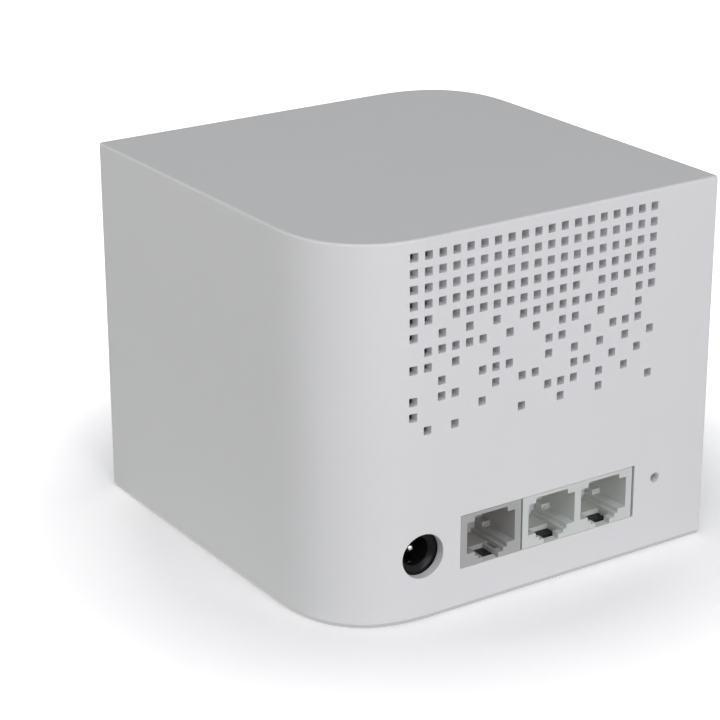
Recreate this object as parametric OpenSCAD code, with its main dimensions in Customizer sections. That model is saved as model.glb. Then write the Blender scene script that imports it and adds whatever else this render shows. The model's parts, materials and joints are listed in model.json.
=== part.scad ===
// Cube-shaped wireless router: a one-piece case over a horizontal board with one wide-area port, a
// double local port, a round power inlet, a recessed reset switch, a heat sink and four antennas.
// Millimetres. +Z is up, the port side faces +Y, and the origin is on the floor under the middle.

/* [Case] */
// Width of the case, along X
case_w = 94.5; // [92:0.5:114]
// Depth of the case, along Y
case_d = 94.5; // [92:0.5:114]
// Height of the case without its feet
case_h = 80.5; // [76:0.5:100]
// Thickness of the side walls
wall = 2; // [1.8:0.1:2.8]
// Thickness of the roof
roof = 2.4; // [1.8:0.1:3]
// How far each soft corner runs along its two sides
corner_reach = 24; // [20:0.5:26]
// How full the soft corner is: 0.55 is close to a circle's arc, 0.8 is nearly square
corner_fullness = 0.72; // [0.55:0.01:0.8]
// Radius of the two crisp upright corners
crisp_r = 0.8; // [0.5:0.1:2]
// Radius of the rounded edge round the roof
roof_edge_r = 0.6; // [0.3:0.1:1.2]
// Height of the case above the floor, on its feet
lift = 0.8; // [0.5:0.1:2]

/* [Vents] */
// Distance between vent centres
vent_pitch = 3.3; // [3:0.05:3.5]
// Side of each square vent
vent_side = 1.75; // [1.4:0.05:2]
// From the top of the case down to the centres of the first row
vent_drop = 3.6; // [3.2:0.1:6]
// From the middle of the case to the middle of the vent field
vent_x = -0.35; // [-1:0.05:1]

/* [Network ports] */
// Left edge of the port row, seen from behind, measured from the middle of the case
ports_left = 17.6; // [17:0.05:19]
// Width of the single socket
wan_w = 15.24; // [15:0.05:16]
// Width of the double socket
lan_w = 28.95; // [28.6:0.05:30]
// Height of both sockets above the board
jack_h = 11.65; // [11.4:0.05:13]
// Depth of both sockets
jack_d = 18; // [17:0.5:20]
// Gap between the two sockets
jack_gap = 0.4; // [0.2:0.05:0.8]
// Distance between the two ports of the double socket
port_pitch = 13.75; // [13.7:0.05:14]
// Gap between the sockets and the edges of their cut-out
cutout_gap = 0.15; // [0.1:0.05:0.4]
// Extra gap at the right-hand end of the cut-out, seen from behind
cutout_end_gap = 0.65; // [0.2:0.05:0.8]

/* [Plug cavity] */
// Width of the plug opening
plug_w = 12.1; // [11.9:0.05:12.3]
// Height of the plug opening
plug_h = 6.95; // [6.7:0.05:7.1]
// Floor of the plug opening above the board
plug_floor = 2.8; // [2.6:0.05:3.2]
// Depth of the plug opening
plug_d = 11; // [10.5:0.1:13]
// Width of the comb recess over the plug
comb_w = 8.3; // [8.1:0.05:9]
// Height of the comb recess
comb_h = 1.1; // [0.9:0.05:1.4]

/* [Power inlet] */
// Distance of the inlet from the middle of the case
power_x = 26.7; // [26:0.1:28.5]
// Height of the inlet's axis above the board
power_axis_h = 5.15; // [5:0.05:7]
// Diameter of the hole in the case
power_hole_d = 9.5; // [9:0.1:10.4]
// Diameter of the socket's bore
power_bore_d = 6; // [5.6:0.05:6.4]
// Diameter of the centre pin
power_pin_d = 2; // [1.9:0.05:2.5]
// How far the pin's tip stays behind the port side
power_pin_recess = 4.45; // [3.8:0.05:6]

/* [Reset] */
// Distance of the pinhole from the middle of the case
reset_x = -33.4; // [-36:0.1:-32]
// Height of the pinhole above the board
reset_h = 7.5; // [6:0.1:8]
// Diameter of the pinhole
pinhole_d = 2.25; // [1.8:0.05:2.6]
// Travel of the switch's plunger
reset_travel = 0.3; // [0.2:0.05:0.4]

/* [Board] */
// Height of the board's top above the bottom of the case
board_top = 8.25; // [8:0.05:9]
// Thickness of the board
board_t = 1.6; // [1.2:0.1:2]
// Gap between the board and the walls
board_gap = 0.6; // [0.4:0.1:1]

/* [Cooling] */
// Width of the heat sink
sink_w = 54; // [46:1:56]
// Depth of the heat sink
sink_d = 36; // [30:1:37]
// Height of the heat sink's fins above its base
fin_h = 14; // [8:0.5:18]
// Number of fins
fin_count = 11; // [7:1:13]

/* [Hidden] */

eps = 0.01;              // how far a cut runs past the surface that it opens
round_fn = 48;           // facets of round parts, which become true circles
corner_steps = 24;       // straight steps along one soft corner
crisp_steps = 4;         // straight steps round one crisp corner

// Rows of vents from the top down; # is a hole, and the first column is at +X.
VENTS = [
    "###################",
    "###################",
    "###################",
    "###################",
    "##.##########.#####",
    "#.#.#.#.########.##",
    ".#####.#.#.##.#..#.",
    "##.#..#...##.#.###.",
    "..#..###..#.#.#.#.#",
    "#.##..#.##..##.#.#.",
    "#....#....###.#.#..",
    ".#.#....#..#..#...#"
];

// Levels above the floor
case_bottom = lift;
case_top = lift + case_h;
board_z = lift + board_top;
board_under = board_z - board_t;
jack_top = board_z + jack_h;
power_z = board_z + power_axis_h;
reset_z = board_z + reset_h;
rear_y = case_d/2;
rear_inside = rear_y - wall;

// Port row
wan_x = ports_left - wan_w/2;
lan_x = ports_left - wan_w - jack_gap - lan_w/2;
lan_ports = [lan_x + port_pitch/2, lan_x - port_pitch/2];
jack_back = rear_y - jack_d;

// Inside of a socket
latch_wide = 8.05;       // upper step of the latch channel
latch_step = 1.85;
latch_w = 6.3;           // lower step, with its floor
latch_floor = 1.1;
latch_slot_w = 3.75;     // slot through the floor, from the mouth to the pocket's back
latch_wall_d = 1.9;      // the wall that the plug's latch catches behind
latch_pocket_d = 5.4;    // back of the open pocket behind that wall
latch_rib_w = 0.4;       // ribs that line the slot in the single socket's pocket
stop_d = 8.5;            // the blocks that the plug stops against
stop_h = 1.2;
contact_bend_d = 4;      // where the contacts turn back down, clear of the view in
jack_wall = 1.2;
insert_w = plug_w + 0.3;
insert_gap = 0.05;
wire_w = 0.45;
wire_t = 0.35;
wire_pitch = 1.016;
finger_drop = 2.8;
insert_top = jack_top - jack_wall - insert_gap;
wire_roof = insert_top - wire_t/2;

// Base cover
cover_recess = 0.6;      // the cover lies this far inside the case's lower rim
cover_t = 2.2;
cover_gap = 0.25;        // between the cover's edge and the walls
cover_top = case_bottom + cover_recess + cover_t;
skirt_t = 1.2;
skirt_h = 2;

// Feet, case screws and the posts that take them
post_x = case_w/2 - 9.25;
post_y = case_d/2 - corner_reach + 7.75;
post_r = 3.3;
post_end = case_bottom + 5;
foot_r = 5.5;
foot_seat = 1;           // depth of the feet's recesses in the cover
foot_gap = 0.15;
screw_d = 2.6;
screw_head_d = 4.8;
screw_head_h = 1.6;
screw_gap = 0.15;        // round a screw in the hole that it passes through
thread_gap = 0.03;       // round a screw in the hole that holds it
case_screw_l = 9;
well_wall = 1.4;
head_seat = post_end - 1.7;

// Board fixings
board_fix = [[34, 12], [-34, 12], [33, -37], [-33, -37]];
sink_fix = [[sink_w/2 - 4, -1], [4 - sink_w/2, -1]];
standoff_r = 2.9;
board_screw_l = 4.6;

// Status light
light_x = 0;
light_z = board_z + 4;
light_d = 2.4;
light_gap = 0.1;
led_y = 4.6 - rear_inside;
led_h = 1;

// Power socket
face_gap = 0.3;          // between the socket and the wall that it faces
power_front = rear_inside - face_gap;
power_dish_d = 0.7;      // a shallow dish leads the plug into the bore
power_dish_w = 1.2;
power_body_w = 10.2;
power_body_d = 14;
power_body_h = power_axis_h + 5.4;
power_bore_l = 9.5;
power_back = power_front - power_body_d;
spring_w = 2.4;
spring_t = 0.3;
power_spring_y = power_front - 9;
power_tab_y = power_back - 0.75;
tab_t = 0.5;
pin_shank_r = 0.8;

// Reset switch: the bracket's plate, the body behind it, and the plunger through both
switch_w = 6;
switch_d = 3.4;
bracket_t = 0.4;
bracket_leg_w = 1.2;
plate_y = rear_inside - 1.9;
switch_y = plate_y - bracket_t;
reset_leg_x = (switch_w - bracket_leg_w)/2 + bracket_t;
reset_pin_x = 2;
reset_pin_y = switch_y - switch_d + 1.2;
plunger_r = 1.6;
plunger_gap = 0.1;
flange_r = 2.3;
flange_t = 0.8;
plunger_out = 1;

// Chips and the heat sink
processor_w = 14;
chip_t = 1.4;
pad_t = 0.8;
sink_base_t = 3;
sink_z = board_z + chip_t + pad_t;
fin_t = 1.1;
sink_y = -1;

// Radio section, towards the front
shield_w = 25;
shield_d = 15;
shield_h = 2.4;
shield_t = 0.25;
shield_x = [15.5, -15.5];
shield_y = -31.5;

// Antenna frame
frame_inset = wall + 1.4;
frame_t = 1.5;
frame_z = case_bottom + 33;
roof_rib_h = 3;
web_t = 1.2;
frame_top = case_top - roof - roof_rib_h;
antenna_z = frame_z + 5;
antenna_w = 12;
antenna_h = 32;
antenna_t = 0.8;
corner_clear = 3.25;      // from a soft corner's start to the antenna beside it
// Each antenna: the turn of its wall about Z, and its place along that wall
ANTENNAS = [
    [0, -6], [180, -6], [-90, corner_reach + corner_clear + antenna_w/2 - case_w/2], [-90, 22]
];
// Where each antenna's lead plugs into the board, and its way there from the frame: points in
// the board's plan, with their heights over the board
COAX_PLUGS = [[24, -21.5], [-24, -21.5], [-7, -21.5], [7, -21.5]];
COAX_ROUTES = [
    [[38, -8, 10], [37.5, -11, 5.5], [34.5, -19, 3.8], [29, -21.5, 2.6]],
    [[-38, 5, 10], [-37.5, 1, 5.5], [-35.5, -17, 4], [-29, -21.5, 2.6]],
    [[-13, -37, 10], [-12, -34, 5.5], [-9, -27, 4.2], [-7.5, -24, 3.8]],
    [[20, -37, 10], [18, -34, 5.5], [10, -27, 4.2], [7.5, -24, 3.8]]
];
coax_plug_h = 1.2;
coax_gap = 0.15;
coax_d = 1.2;
coax_sides = 8;

// ---- outline of the case -------------------------------------------------------------------

// How far the soft corner has left one side after a share t of its length, and its rate of change
function bend(t) = let (m = 3*(1 - corner_fullness)) m*t*t + (1 - m)*t*t*t;
function bend_rate(t) = let (m = 3*(1 - corner_fullness)) 2*m*t + 3*(1 - m)*t*t;

// A point of the soft corner from the place where its two sides would meet, moved in by inset
function soft_point(t, inset) =
    let (out = [bend_rate(1 - t), bend_rate(t)])
    [-corner_reach*bend(t), -corner_reach*bend(1 - t)] - inset*out/norm(out);

function soft_corner(inset) = [
    for (i = [0 : corner_steps])
        [case_w/2, case_d/2] + soft_point(i/corner_steps, inset)
];

function crisp_corner(inset) =
    let (r = max(crisp_r - inset, 0.3))
    [
        for (i = [0 : crisp_steps])
            let (a = -90 + 90*i/crisp_steps)
            [case_w/2 - inset - r + r*cos(a), -case_d/2 + inset + r + r*sin(a)]
    ];

// The outline turns into itself by half a turn, so the second half is the first one negated
function outline_points(inset) =
    let (half = concat(crisp_corner(inset), soft_corner(inset)))
    concat(half, [for (p = half) -p]);

module outline(inset = 0) {
    polygon(outline_points(inset));
}

module slab(z0, z1, inset = 0) {
    translate([0, 0, z0]) linear_extrude(z1 - z0) outline(inset);
}

module ring(z0, z1, inset, thick) {
    translate([0, 0, z0]) linear_extrude(z1 - z0) difference() {
        outline(inset);
        outline(inset + thick);
    }
}

// ---- shared shapes -------------------------------------------------------------------------

// A box from its least to its greatest corner
module span(a, b) {
    translate(a) cube(b - a);
}

// A round bar along +Y from y0 to y1
module bar_y(x, z, r, y0, y1) {
    translate([x, y0, z]) rotate([-90, 0, 0]) cylinder(h = y1 - y0, r = r, $fn = round_fn);
}

// A round bar along +Z from z0 to z1
module bar_z(x, y, r, z0, z1) {
    translate([x, y, z0]) cylinder(h = z1 - z0, r = r, $fn = round_fn);
}

// The webs that tie the posts to the side walls
module at_webs() {
    for (sx = [-1, 1], sy = [-1, 1])
        translate([sx*(post_x + case_w/4), sy*post_y, 0]) children();
}

module at_posts() {
    for (sx = [-1, 1], sy = [-1, 1])
        translate([sx*post_x, sy*post_y, 0]) children();
}

// A pan-head screw pointing down from its head's underside at z = 0
module pan_screw(l) {
    rotate_extrude($fn = round_fn) polygon([
        [0, -l], [screw_d/2 - 0.3, -l], [screw_d/2, 0.4 - l], [screw_d/2, 0],
        [screw_head_d/2, 0], [screw_head_d/2, screw_head_h*0.5],
        [screw_head_d/2 - 0.6, screw_head_h], [1, screw_head_h], [0.9, 0.6], [0, 0.6]
    ]);
}

// A strip of even thickness along a path in the YZ plane, centred on x
module strip(path, thick, width, x) {
    n = len(path);
    dirs = [for (i = [0 : n - 2]) (path[i + 1] - path[i])/norm(path[i + 1] - path[i])];
    sides = [
        for (i = [0 : n - 1])
            let (a = dirs[max(i - 1, 0)], b = dirs[min(i, n - 2)], s = a + b, u = s/norm(s))
            [-u[1], u[0]]*thick/2/(u*b)
    ];
    translate([x - width/2, 0, 0]) rotate([90, 0, 90]) linear_extrude(width) polygon(concat(
        [for (i = [0 : n - 1]) path[i] + sides[i]],
        [for (i = [n - 1 : -1 : 0]) path[i] - sides[i]]
    ));
}

// A chip with a thin row of legs along two sides
module chip(w, d, t, z, body = 0.82) {
    translate([-w*body/2, -d/2, z + 0.1]) cube([w*body, d, t - 0.1]);
    for (sx = [-1, 1])
        translate([sx*w/2 - (sx > 0 ? w*(1 - body)/2 + eps : 0), -d*0.45, z])
            cube([w*(1 - body)/2 + eps, d*0.9, 0.35]);
}

// ---- case ----------------------------------------------------------------------------------

// The upper edge of the case turns in along an arc, as one hull of thin slices
module roof_cap() {
    steps = 4;
    hull() for (i = [0 : steps])
        let (a = 90*i/steps)
        translate([0, 0, case_top - roof_edge_r + roof_edge_r*sin(a) - eps])
            linear_extrude(eps) outline(roof_edge_r*(1 - cos(a)));
}

module vent_cuts() {
    columns = len(VENTS[0]);
    translate([vent_x, rear_y + 1, case_top - vent_drop]) rotate([90, 0, 0])
        linear_extrude(wall + 4)
            for (row = [0 : len(VENTS) - 1], column = [0 : columns - 1])
                if (VENTS[row][column] == "#")
                    translate([((columns - 1)/2 - column)*vent_pitch, -row*vent_pitch])
                        square(vent_side, center = true);
}

module port_cutout() {
    span(
        [lan_x - lan_w/2 - cutout_end_gap, rear_inside - 2, board_z - cutout_gap],
        [ports_left + cutout_gap, rear_y + 1, jack_top + cutout_gap]
    );
}

// The posts, their webs to the side walls, and the ribs under the roof
module case_ribs() {
    rib_t = 1.2;
    roof_rib_at = 16;
    at_posts() cylinder(h = case_top, r = post_r, $fn = round_fn);
    at_webs() translate([0, 0, case_top/2]) cube([case_w/2, web_t, case_top], center = true);
    for (s = [-1, 1]) translate([0, 0, case_top - roof - roof_rib_h/2]) {
        translate([s*roof_rib_at, 0, 0]) cube([rib_t, case_d, roof_rib_h], center = true);
        translate([0, s*roof_rib_at, 0]) cube([case_w, rib_t, roof_rib_h], center = true);
    }
}

module housing() {
    color("white") difference() {
        union() {
            difference() {
                union() {
                    slab(case_bottom, case_top - roof_edge_r);
                    roof_cap();
                }
                slab(case_bottom - 1, case_top - roof, wall);
            }
            intersection() {
                case_ribs();
                slab(post_end, case_top - roof/2, wall/2);
            }
        }
        vent_cuts();
        port_cutout();
        bar_y(power_x, power_z, power_hole_d/2, rear_inside - 2, rear_y + 1);
        // The wall starts to bend here, and is cut flat inside for the front of the power socket
        span(
            [power_x - power_body_w/2 - face_gap, rear_inside - 2*wall, post_end + 1],
            [power_x + power_body_w/2 + face_gap, rear_inside, board_z + power_body_h + face_gap]
        );
        bar_y(reset_x, reset_z, pinhole_d/2, rear_inside - 1, rear_y + 1);
        bar_y(light_x, light_z, light_d/2 + light_gap, -rear_y - 1, 1 - rear_inside);
        at_posts() translate([0, 0, post_end - eps])
            cylinder(h = case_screw_l + 1, r = screw_d/2 + thread_gap, $fn = round_fn);
    }
}

// ---- base ----------------------------------------------------------------------------------

module standoff(x, y) {
    bar_z(x, y, standoff_r, cover_top - eps, board_under);
}

// Slots that let cool air in under the heat sink
module intake_slots() {
    slot_w = 2;
    slot_l = 12;
    pitch_x = 5;
    pitch_y = 16;
    for (i = [-3 : 3], j = [-1 : 1])
        translate([i*pitch_x, j*pitch_y, cover_top - cover_t/2])
            cube([slot_w, slot_l, cover_t + 1], center = true);
}

// Ribs that hold the board's rear edge up while a plug is pushed in
module board_props() {
    prop_t = 1.5;
    ports_y = rear_y - jack_d/2;
    power_y = power_front - power_body_d/2;
    power_half = 4;
    span(
        [lan_x - lan_w/2, ports_y, cover_top - eps],
        [ports_left, ports_y + prop_t, board_under]
    );
    span(
        [power_x - power_half, power_y, cover_top - eps],
        [power_x + power_half, power_y + prop_t, board_under]
    );
}

module base_cover() {
    cover_inset = wall + cover_gap;
    floor_z = case_bottom + cover_recess;
    head_hole_r = screw_head_d/2 + screw_gap;
    color("whitesmoke") difference() {
        union() {
            slab(floor_z, cover_top, cover_inset);
            ring(cover_top - eps, cover_top + skirt_h, cover_inset, skirt_t);
            at_posts() translate([0, 0, floor_z])
                cylinder(h = post_end - floor_z, r = head_hole_r + well_wall, $fn = round_fn);
            for (p = concat(board_fix, sink_fix)) standoff(p[0], p[1]);
            board_props();
        }
        intake_slots();
        at_posts() {
            cylinder(h = floor_z + foot_seat, r = foot_r + foot_gap, $fn = round_fn);
            cylinder(h = head_seat, r = head_hole_r, $fn = round_fn);
            cylinder(h = post_end + 1, r = screw_d/2 + screw_gap, $fn = round_fn);
        }
        for (p = concat(board_fix, sink_fix))
            bar_z(p[0], p[1], screw_d/2 + thread_gap, cover_top + 0.4, board_under + 1);
    }
}

module rubber_feet() {
    edge = 0.4;
    top = case_bottom + cover_recess + foot_seat;
    color("gray") at_posts() rotate_extrude($fn = round_fn) polygon([
        [0, 0], [foot_r - edge, 0], [foot_r, edge], [foot_r, top], [0, top]
    ]);
}

module case_screws() {
    color("silver") at_posts() translate([0, 0, head_seat])
        rotate([180, 0, 0]) pan_screw(case_screw_l);
}

// ---- board ---------------------------------------------------------------------------------

module main_board() {
    tail_d = 0.7;
    color([0.06, 0.06, 0.06]) difference() {
        slab(board_under, board_z, wall + board_gap);
        at_posts() translate([0, 0, board_under - 1])
            cylinder(h = board_t + 2, r = post_r + board_gap, $fn = round_fn);
        at_webs() translate([0, 0, board_z])
            cube([case_w/2, web_t + 2*board_gap, 2*board_t + 1], center = true);
        for (p = concat(board_fix, sink_fix))
            bar_z(p[0], p[1], screw_d/2 + screw_gap, board_under - 1, board_z + 1);
        for (x = concat([wan_x], lan_ports), i = [0 : 7])
            bar_z(x + wire_x(i), tail_y(i), tail_d/2, board_under - 1, board_z + 1);
        for (y = [power_tab_y, power_spring_y])
            translate([power_x, y, board_z])
                cube([spring_w + 0.6, 1.2, 2*board_t + 1], center = true);
        for (s = [-1, 1]) {
            translate([reset_x + s*reset_leg_x, plate_y - bracket_t/2, board_z])
                cube([bracket_leg_w + 0.4, bracket_t + 0.4, 2*board_t + 1], center = true);
            translate([reset_x + s*reset_pin_x, reset_pin_y, board_z])
                cube([1.1, 0.7, 2*board_t + 1], center = true);
        }
    }
}

module board_screws() {
    color("silver") for (p = board_fix)
        translate([p[0], p[1], board_z]) pan_screw(board_screw_l);
}

// ---- network ports -------------------------------------------------------------------------

// The opening of one port as seen from its mouth: the plug, the comb recess over it, and the two
// steps of the latch channel under it
module plug_outline() {
    top = plug_floor + plug_h;
    translate([-plug_w/2, plug_floor]) square([plug_w, plug_h]);
    translate([-comb_w/2, top - eps]) square([comb_w, comb_h + eps]);
    translate([-latch_wide/2, latch_step]) square([latch_wide, plug_floor - latch_step + eps]);
    translate([-latch_w/2, latch_floor]) square([latch_w, latch_step - latch_floor + eps]);
}

// The cavity of one port. A slot runs in along the floor to a pocket that is open below, where the
// plug's latch drops behind the front wall. At the back the plug stops against two small blocks.
module plug_cavity(x, rib) {
    stop_w = (plug_w - latch_wide)/2;
    translate([x, rear_y, board_z]) difference() {
        union() {
            translate([0, eps, 0]) rotate([90, 0, 0]) linear_extrude(plug_d + 2*eps) plug_outline();
            span([-latch_slot_w/2, -latch_pocket_d, -eps], [latch_slot_w/2, eps, latch_step]);
            span([-latch_w/2, -latch_pocket_d, -eps], [latch_w/2, -latch_wall_d, latch_step]);
        }
        for (s = [-1, 1]) {
            translate([s*(plug_w - stop_w + eps)/2, -(plug_d + stop_d)/2, plug_floor + stop_h/2])
                cube([stop_w + eps, plug_d - stop_d, stop_h + eps], center = true);
            if (rib > 0)
                translate([s*(latch_slot_w + rib)/2, -(latch_pocket_d + latch_wall_d)/2, 0])
                    cube([rib, latch_pocket_d - latch_wall_d + 2*eps, 2*latch_floor], center = true);
        }
    }
}

// A socket's body: a block with its port cavities, open at the back for the contact inserts
module jack_body(x, w, ports, rib = 0) {
    difference() {
        span([x - w/2, jack_back, board_z], [x + w/2, rear_y, jack_top]);
        for (p = ports) {
            plug_cavity(p, rib);
            span(
                [p - insert_w/2, jack_back - 1, board_z - 1],
                [p + insert_w/2, rear_y - plug_d, jack_top - jack_wall]
            );
        }
    }
}

// The block behind the plug, which closes the cavity and is slotted for the eight contacts
module contact_insert(x) {
    slot_w = wire_w + 2*insert_gap;
    difference() {
        span(
            [x - insert_w/2 + insert_gap, jack_back + 0.6, board_z],
            [x + insert_w/2 - insert_gap, rear_y - plug_d - insert_gap, insert_top]
        );
        for (i = [0 : 7]) translate([x + wire_x(i) - slot_w/2, jack_back, board_z - 1]) {
            cube([slot_w, tail_y(i) + wire_t - jack_back, jack_h]);
            translate([0, 0, wire_roof - wire_t - board_z + 1]) cube([slot_w, jack_d, 2*wire_t]);
        }
    }
}

// Contacts: their tails stand in two staggered rows
function wire_x(i) = (i - 3.5)*wire_pitch;
function tail_y(i) = jack_back + (i % 2 == 0 ? 2.2 : 4.2);

// One contact: a tail through the board, a riser, a run under the roof and a springy finger
module contact(x, i) {
    bend_y = rear_y - contact_bend_d;
    strip([
        [tail_y(i), board_under - 1], [tail_y(i), wire_roof],
        [bend_y, wire_roof], [bend_y + 0.5, wire_roof - 0.7],
        [rear_y - stop_d, wire_roof - finger_drop]
    ], wire_t, wire_w, x + wire_x(i));
}

module wan_jack() {
    color([0.6, 0.6, 0.58]) jack_body(wan_x, wan_w, [wan_x], latch_rib_w);
}

module wan_insert() {
    color([0.55, 0.55, 0.53]) contact_insert(wan_x);
}

module wan_contacts() {
    color("gold") for (i = [0 : 7]) contact(wan_x, i);
}

module lan_jack() {
    color([0.8, 0.81, 0.79]) jack_body(lan_x, lan_w, lan_ports);
}

module lan_inserts() {
    color([0.75, 0.76, 0.74]) for (x = lan_ports) contact_insert(x);
}

module lan_contacts() {
    color("gold") for (x = lan_ports, i = [0 : 7]) contact(x, i);
}

// ---- power inlet ---------------------------------------------------------------------------

module power_jack() {
    top = board_z + power_body_h;
    barrel_r = power_body_w/2;
    color([0.05, 0.05, 0.05]) difference() {
        union() {
            span(
                [power_x - power_body_w/2, power_back, board_z],
                [power_x + power_body_w/2, power_front, power_z]
            );
            bar_y(power_x, power_z, barrel_r, power_back, power_front);
            span(
                [power_x - power_body_w/2, power_front - 3.4, board_z],
                [power_x + power_body_w/2, power_front, top]
            );
        }
        bar_y(power_x, power_z, power_bore_d/2, power_front - power_bore_l, power_front + 1);
        translate([power_x, power_front - power_dish_d, power_z]) rotate([-90, 0, 0]) cylinder(
            h = power_dish_d + eps, r1 = power_bore_d/2, r2 = power_bore_d/2 + power_dish_w,
            $fn = round_fn
        );
        // Passages for the centre pin and for the leaf spring under the bore
        bar_y(power_x, power_z, pin_shank_r + 0.02, power_back - 1, power_front);
        span(
            [power_x - spring_w/2 - 0.1, power_spring_y - 0.4, board_z - 1],
            [power_x + spring_w/2 + 0.1, power_front - 2.4, power_z - power_bore_d/2 + 0.6]
        );
    }
}

// The pin stands free in the bore; its thinner shank passes the back wall to the solder tab
module power_pin() {
    tip_y = rear_y - power_pin_recess;
    root_y = power_front - power_bore_l;
    r = power_pin_d/2;
    color("silver") {
        translate([power_x, 0, power_z]) rotate([-90, 0, 0]) rotate_extrude($fn = round_fn)
            polygon(concat(
                [[0, power_tab_y], [pin_shank_r, power_tab_y], [pin_shank_r, root_y], [r, root_y]],
                [for (a = [0 : 15 : 90]) [r*cos(a), tip_y - r + r*sin(a)]]
            ));
        span(
            [power_x - spring_w/2, power_tab_y - tab_t/2, board_under - 1],
            [power_x + spring_w/2, power_tab_y + tab_t/2, power_z + r + 0.4]
        );
    }
}

// The leaf that presses on the plug's sleeve from below, with its tail through the board
module power_spring() {
    bore_low = power_z - power_bore_d/2;
    color("silver") strip([
        [power_spring_y, board_under - 1], [power_spring_y, bore_low - 0.6],
        [power_front - 5.5, bore_low + 0.3], [power_front - 3, bore_low - 0.4]
    ], spring_t, spring_w, power_x);
}

// ---- reset switch --------------------------------------------------------------------------

module reset_switch() {
    color([0.1, 0.1, 0.1]) difference() {
        span(
            [reset_x - switch_w/2, switch_y - switch_d, reset_z - switch_w/2],
            [reset_x + switch_w/2, switch_y, reset_z + switch_w/2]
        );
        bar_y(
            reset_x, reset_z, flange_r + plunger_gap,
            switch_y - flange_t - reset_travel - 0.2, switch_y + 1
        );
    }
}

// A folded plate: its front holds the body, its wings grip the sides, its legs pass the board
module reset_bracket() {
    side = switch_w/2 + bracket_t;
    plate_top = reset_z + switch_w/2;
    color("silver") difference() {
        union() {
            span([reset_x - side, switch_y, reset_z - side], [reset_x + side, plate_y, plate_top]);
            for (s = [-1, 1]) {
                translate([reset_x + s*(side - bracket_t/2), switch_y - 1 + eps, reset_z])
                    cube([bracket_t, 2, switch_w - 2], center = true);
                translate([
                    reset_x + s*reset_leg_x, plate_y - bracket_t/2,
                    (reset_z + board_under - 0.8)/2
                ])
                    cube([bracket_leg_w, bracket_t, reset_z - board_under + 0.8], center = true);
            }
        }
        bar_y(reset_x, reset_z, plunger_r + plunger_gap, switch_y - 1, plate_y + 1);
    }
}

// Two legs under the body, through the board
module reset_pins() {
    for (s = [-1, 1]) color("silver") translate([
        reset_x + s*reset_pin_x, reset_pin_y, (reset_z - switch_w/2 + board_under - 0.8)/2
    ])
        cube([0.7, 0.3, reset_z - switch_w/2 - board_under + 0.8], center = true);
}

// The plunger: a flange held behind the plate, and a round stem that faces the pinhole
module reset_button() {
    color("white") translate([reset_x, 0, reset_z]) rotate([-90, 0, 0])
        rotate_extrude($fn = round_fn) polygon([
            [0, switch_y - flange_t], [flange_r, switch_y - flange_t], [flange_r, switch_y],
            [plunger_r, switch_y], [plunger_r, plate_y + plunger_out - 0.2],
            [plunger_r - 0.2, plate_y + plunger_out], [0, plate_y + plunger_out]
        ]);
}

// ---- chips and cooling ---------------------------------------------------------------------

module processor() {
    color([0.1, 0.1, 0.11]) translate([0, sink_y, board_z + chip_t/2])
        cube([processor_w, processor_w, chip_t], center = true);
}

module thermal_pad() {
    color([0.55, 0.6, 0.7]) translate([0, sink_y, board_z + chip_t + pad_t/2])
        cube([processor_w + 1, processor_w + 1, pad_t], center = true);
}

// An extruded profile of a base and even fins, spot-faced round its two screws
module heat_sink() {
    fin_pitch = (sink_w - fin_t)/(fin_count - 1);
    color([0.7, 0.72, 0.74]) difference() {
        translate([0, sink_y + sink_d/2, sink_z]) rotate([90, 0, 0]) linear_extrude(sink_d) {
            translate([-sink_w/2, 0]) square([sink_w, sink_base_t]);
            for (i = [0 : fin_count - 1])
                translate([-sink_w/2 + i*fin_pitch, 0]) square([fin_t, sink_base_t + fin_h]);
        }
        for (p = sink_fix) {
            bar_z(p[0], p[1], screw_d/2 + screw_gap, sink_z - 1, sink_z + sink_base_t + 1);
            bar_z(
                p[0], p[1], screw_head_d/2 + 0.8, sink_z + sink_base_t, sink_z + fin_h + 10
            );
        }
    }
}

module heat_sink_screws() {
    l = sink_z + sink_base_t - board_z + board_screw_l;
    color("silver") for (p = sink_fix)
        translate([p[0], p[1], sink_z + sink_base_t]) pan_screw(l);
}

module memory_chips() {
    color([0.1, 0.1, 0.11]) for (y = [sink_y - 7, sink_y + 7])
        translate([-13.5, y, 0]) chip(11, 8, 1.1, board_z);
}

module flash_chip() {
    color([0.1, 0.1, 0.11]) translate([13.5, sink_y + 8, 0]) chip(8, 6, 1.1, board_z);
}

module crystal() {
    color("silver") translate([13, sink_y - 8, board_z + 0.5]) cube([5, 3.2, 1], center = true);
}

module radio_chips() {
    color([0.1, 0.1, 0.11]) for (x = shield_x)
        translate([x, shield_y, board_z + 0.45]) cube([7, 7, 0.9], center = true);
}

// Open-topped walls soldered to the board round each radio
module shield_frames() {
    color("silver") for (x = shield_x) translate([x, shield_y, board_z + shield_h/2]) difference() {
        cube([shield_w, shield_d, shield_h], center = true);
        cube([shield_w - 2*shield_t, shield_d - 2*shield_t, shield_h + 1], center = true);
    }
}

// Lids that snap over the walls
module shield_lids() {
    fit = 0.03;
    skirt = 1.6;
    w = shield_w + 2*fit;
    d = shield_d + 2*fit;
    h = skirt + shield_t;
    color("silver") for (x = shield_x)
        translate([x, shield_y, board_z + shield_h + shield_t - h/2]) difference() {
            cube([w + 2*shield_t, d + 2*shield_t, h], center = true);
            translate([0, 0, -shield_t]) cube([w, d, h], center = true);
        }
}

// One isolating transformer behind each network port
module line_transformers() {
    off_jack = 5;
    color([0.08, 0.08, 0.08]) for (x = concat([wan_x], lan_ports))
        translate([x, jack_back - off_jack, 0]) rotate([0, 0, 90]) chip(7, 12.6, 4.4, board_z);
}

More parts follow.
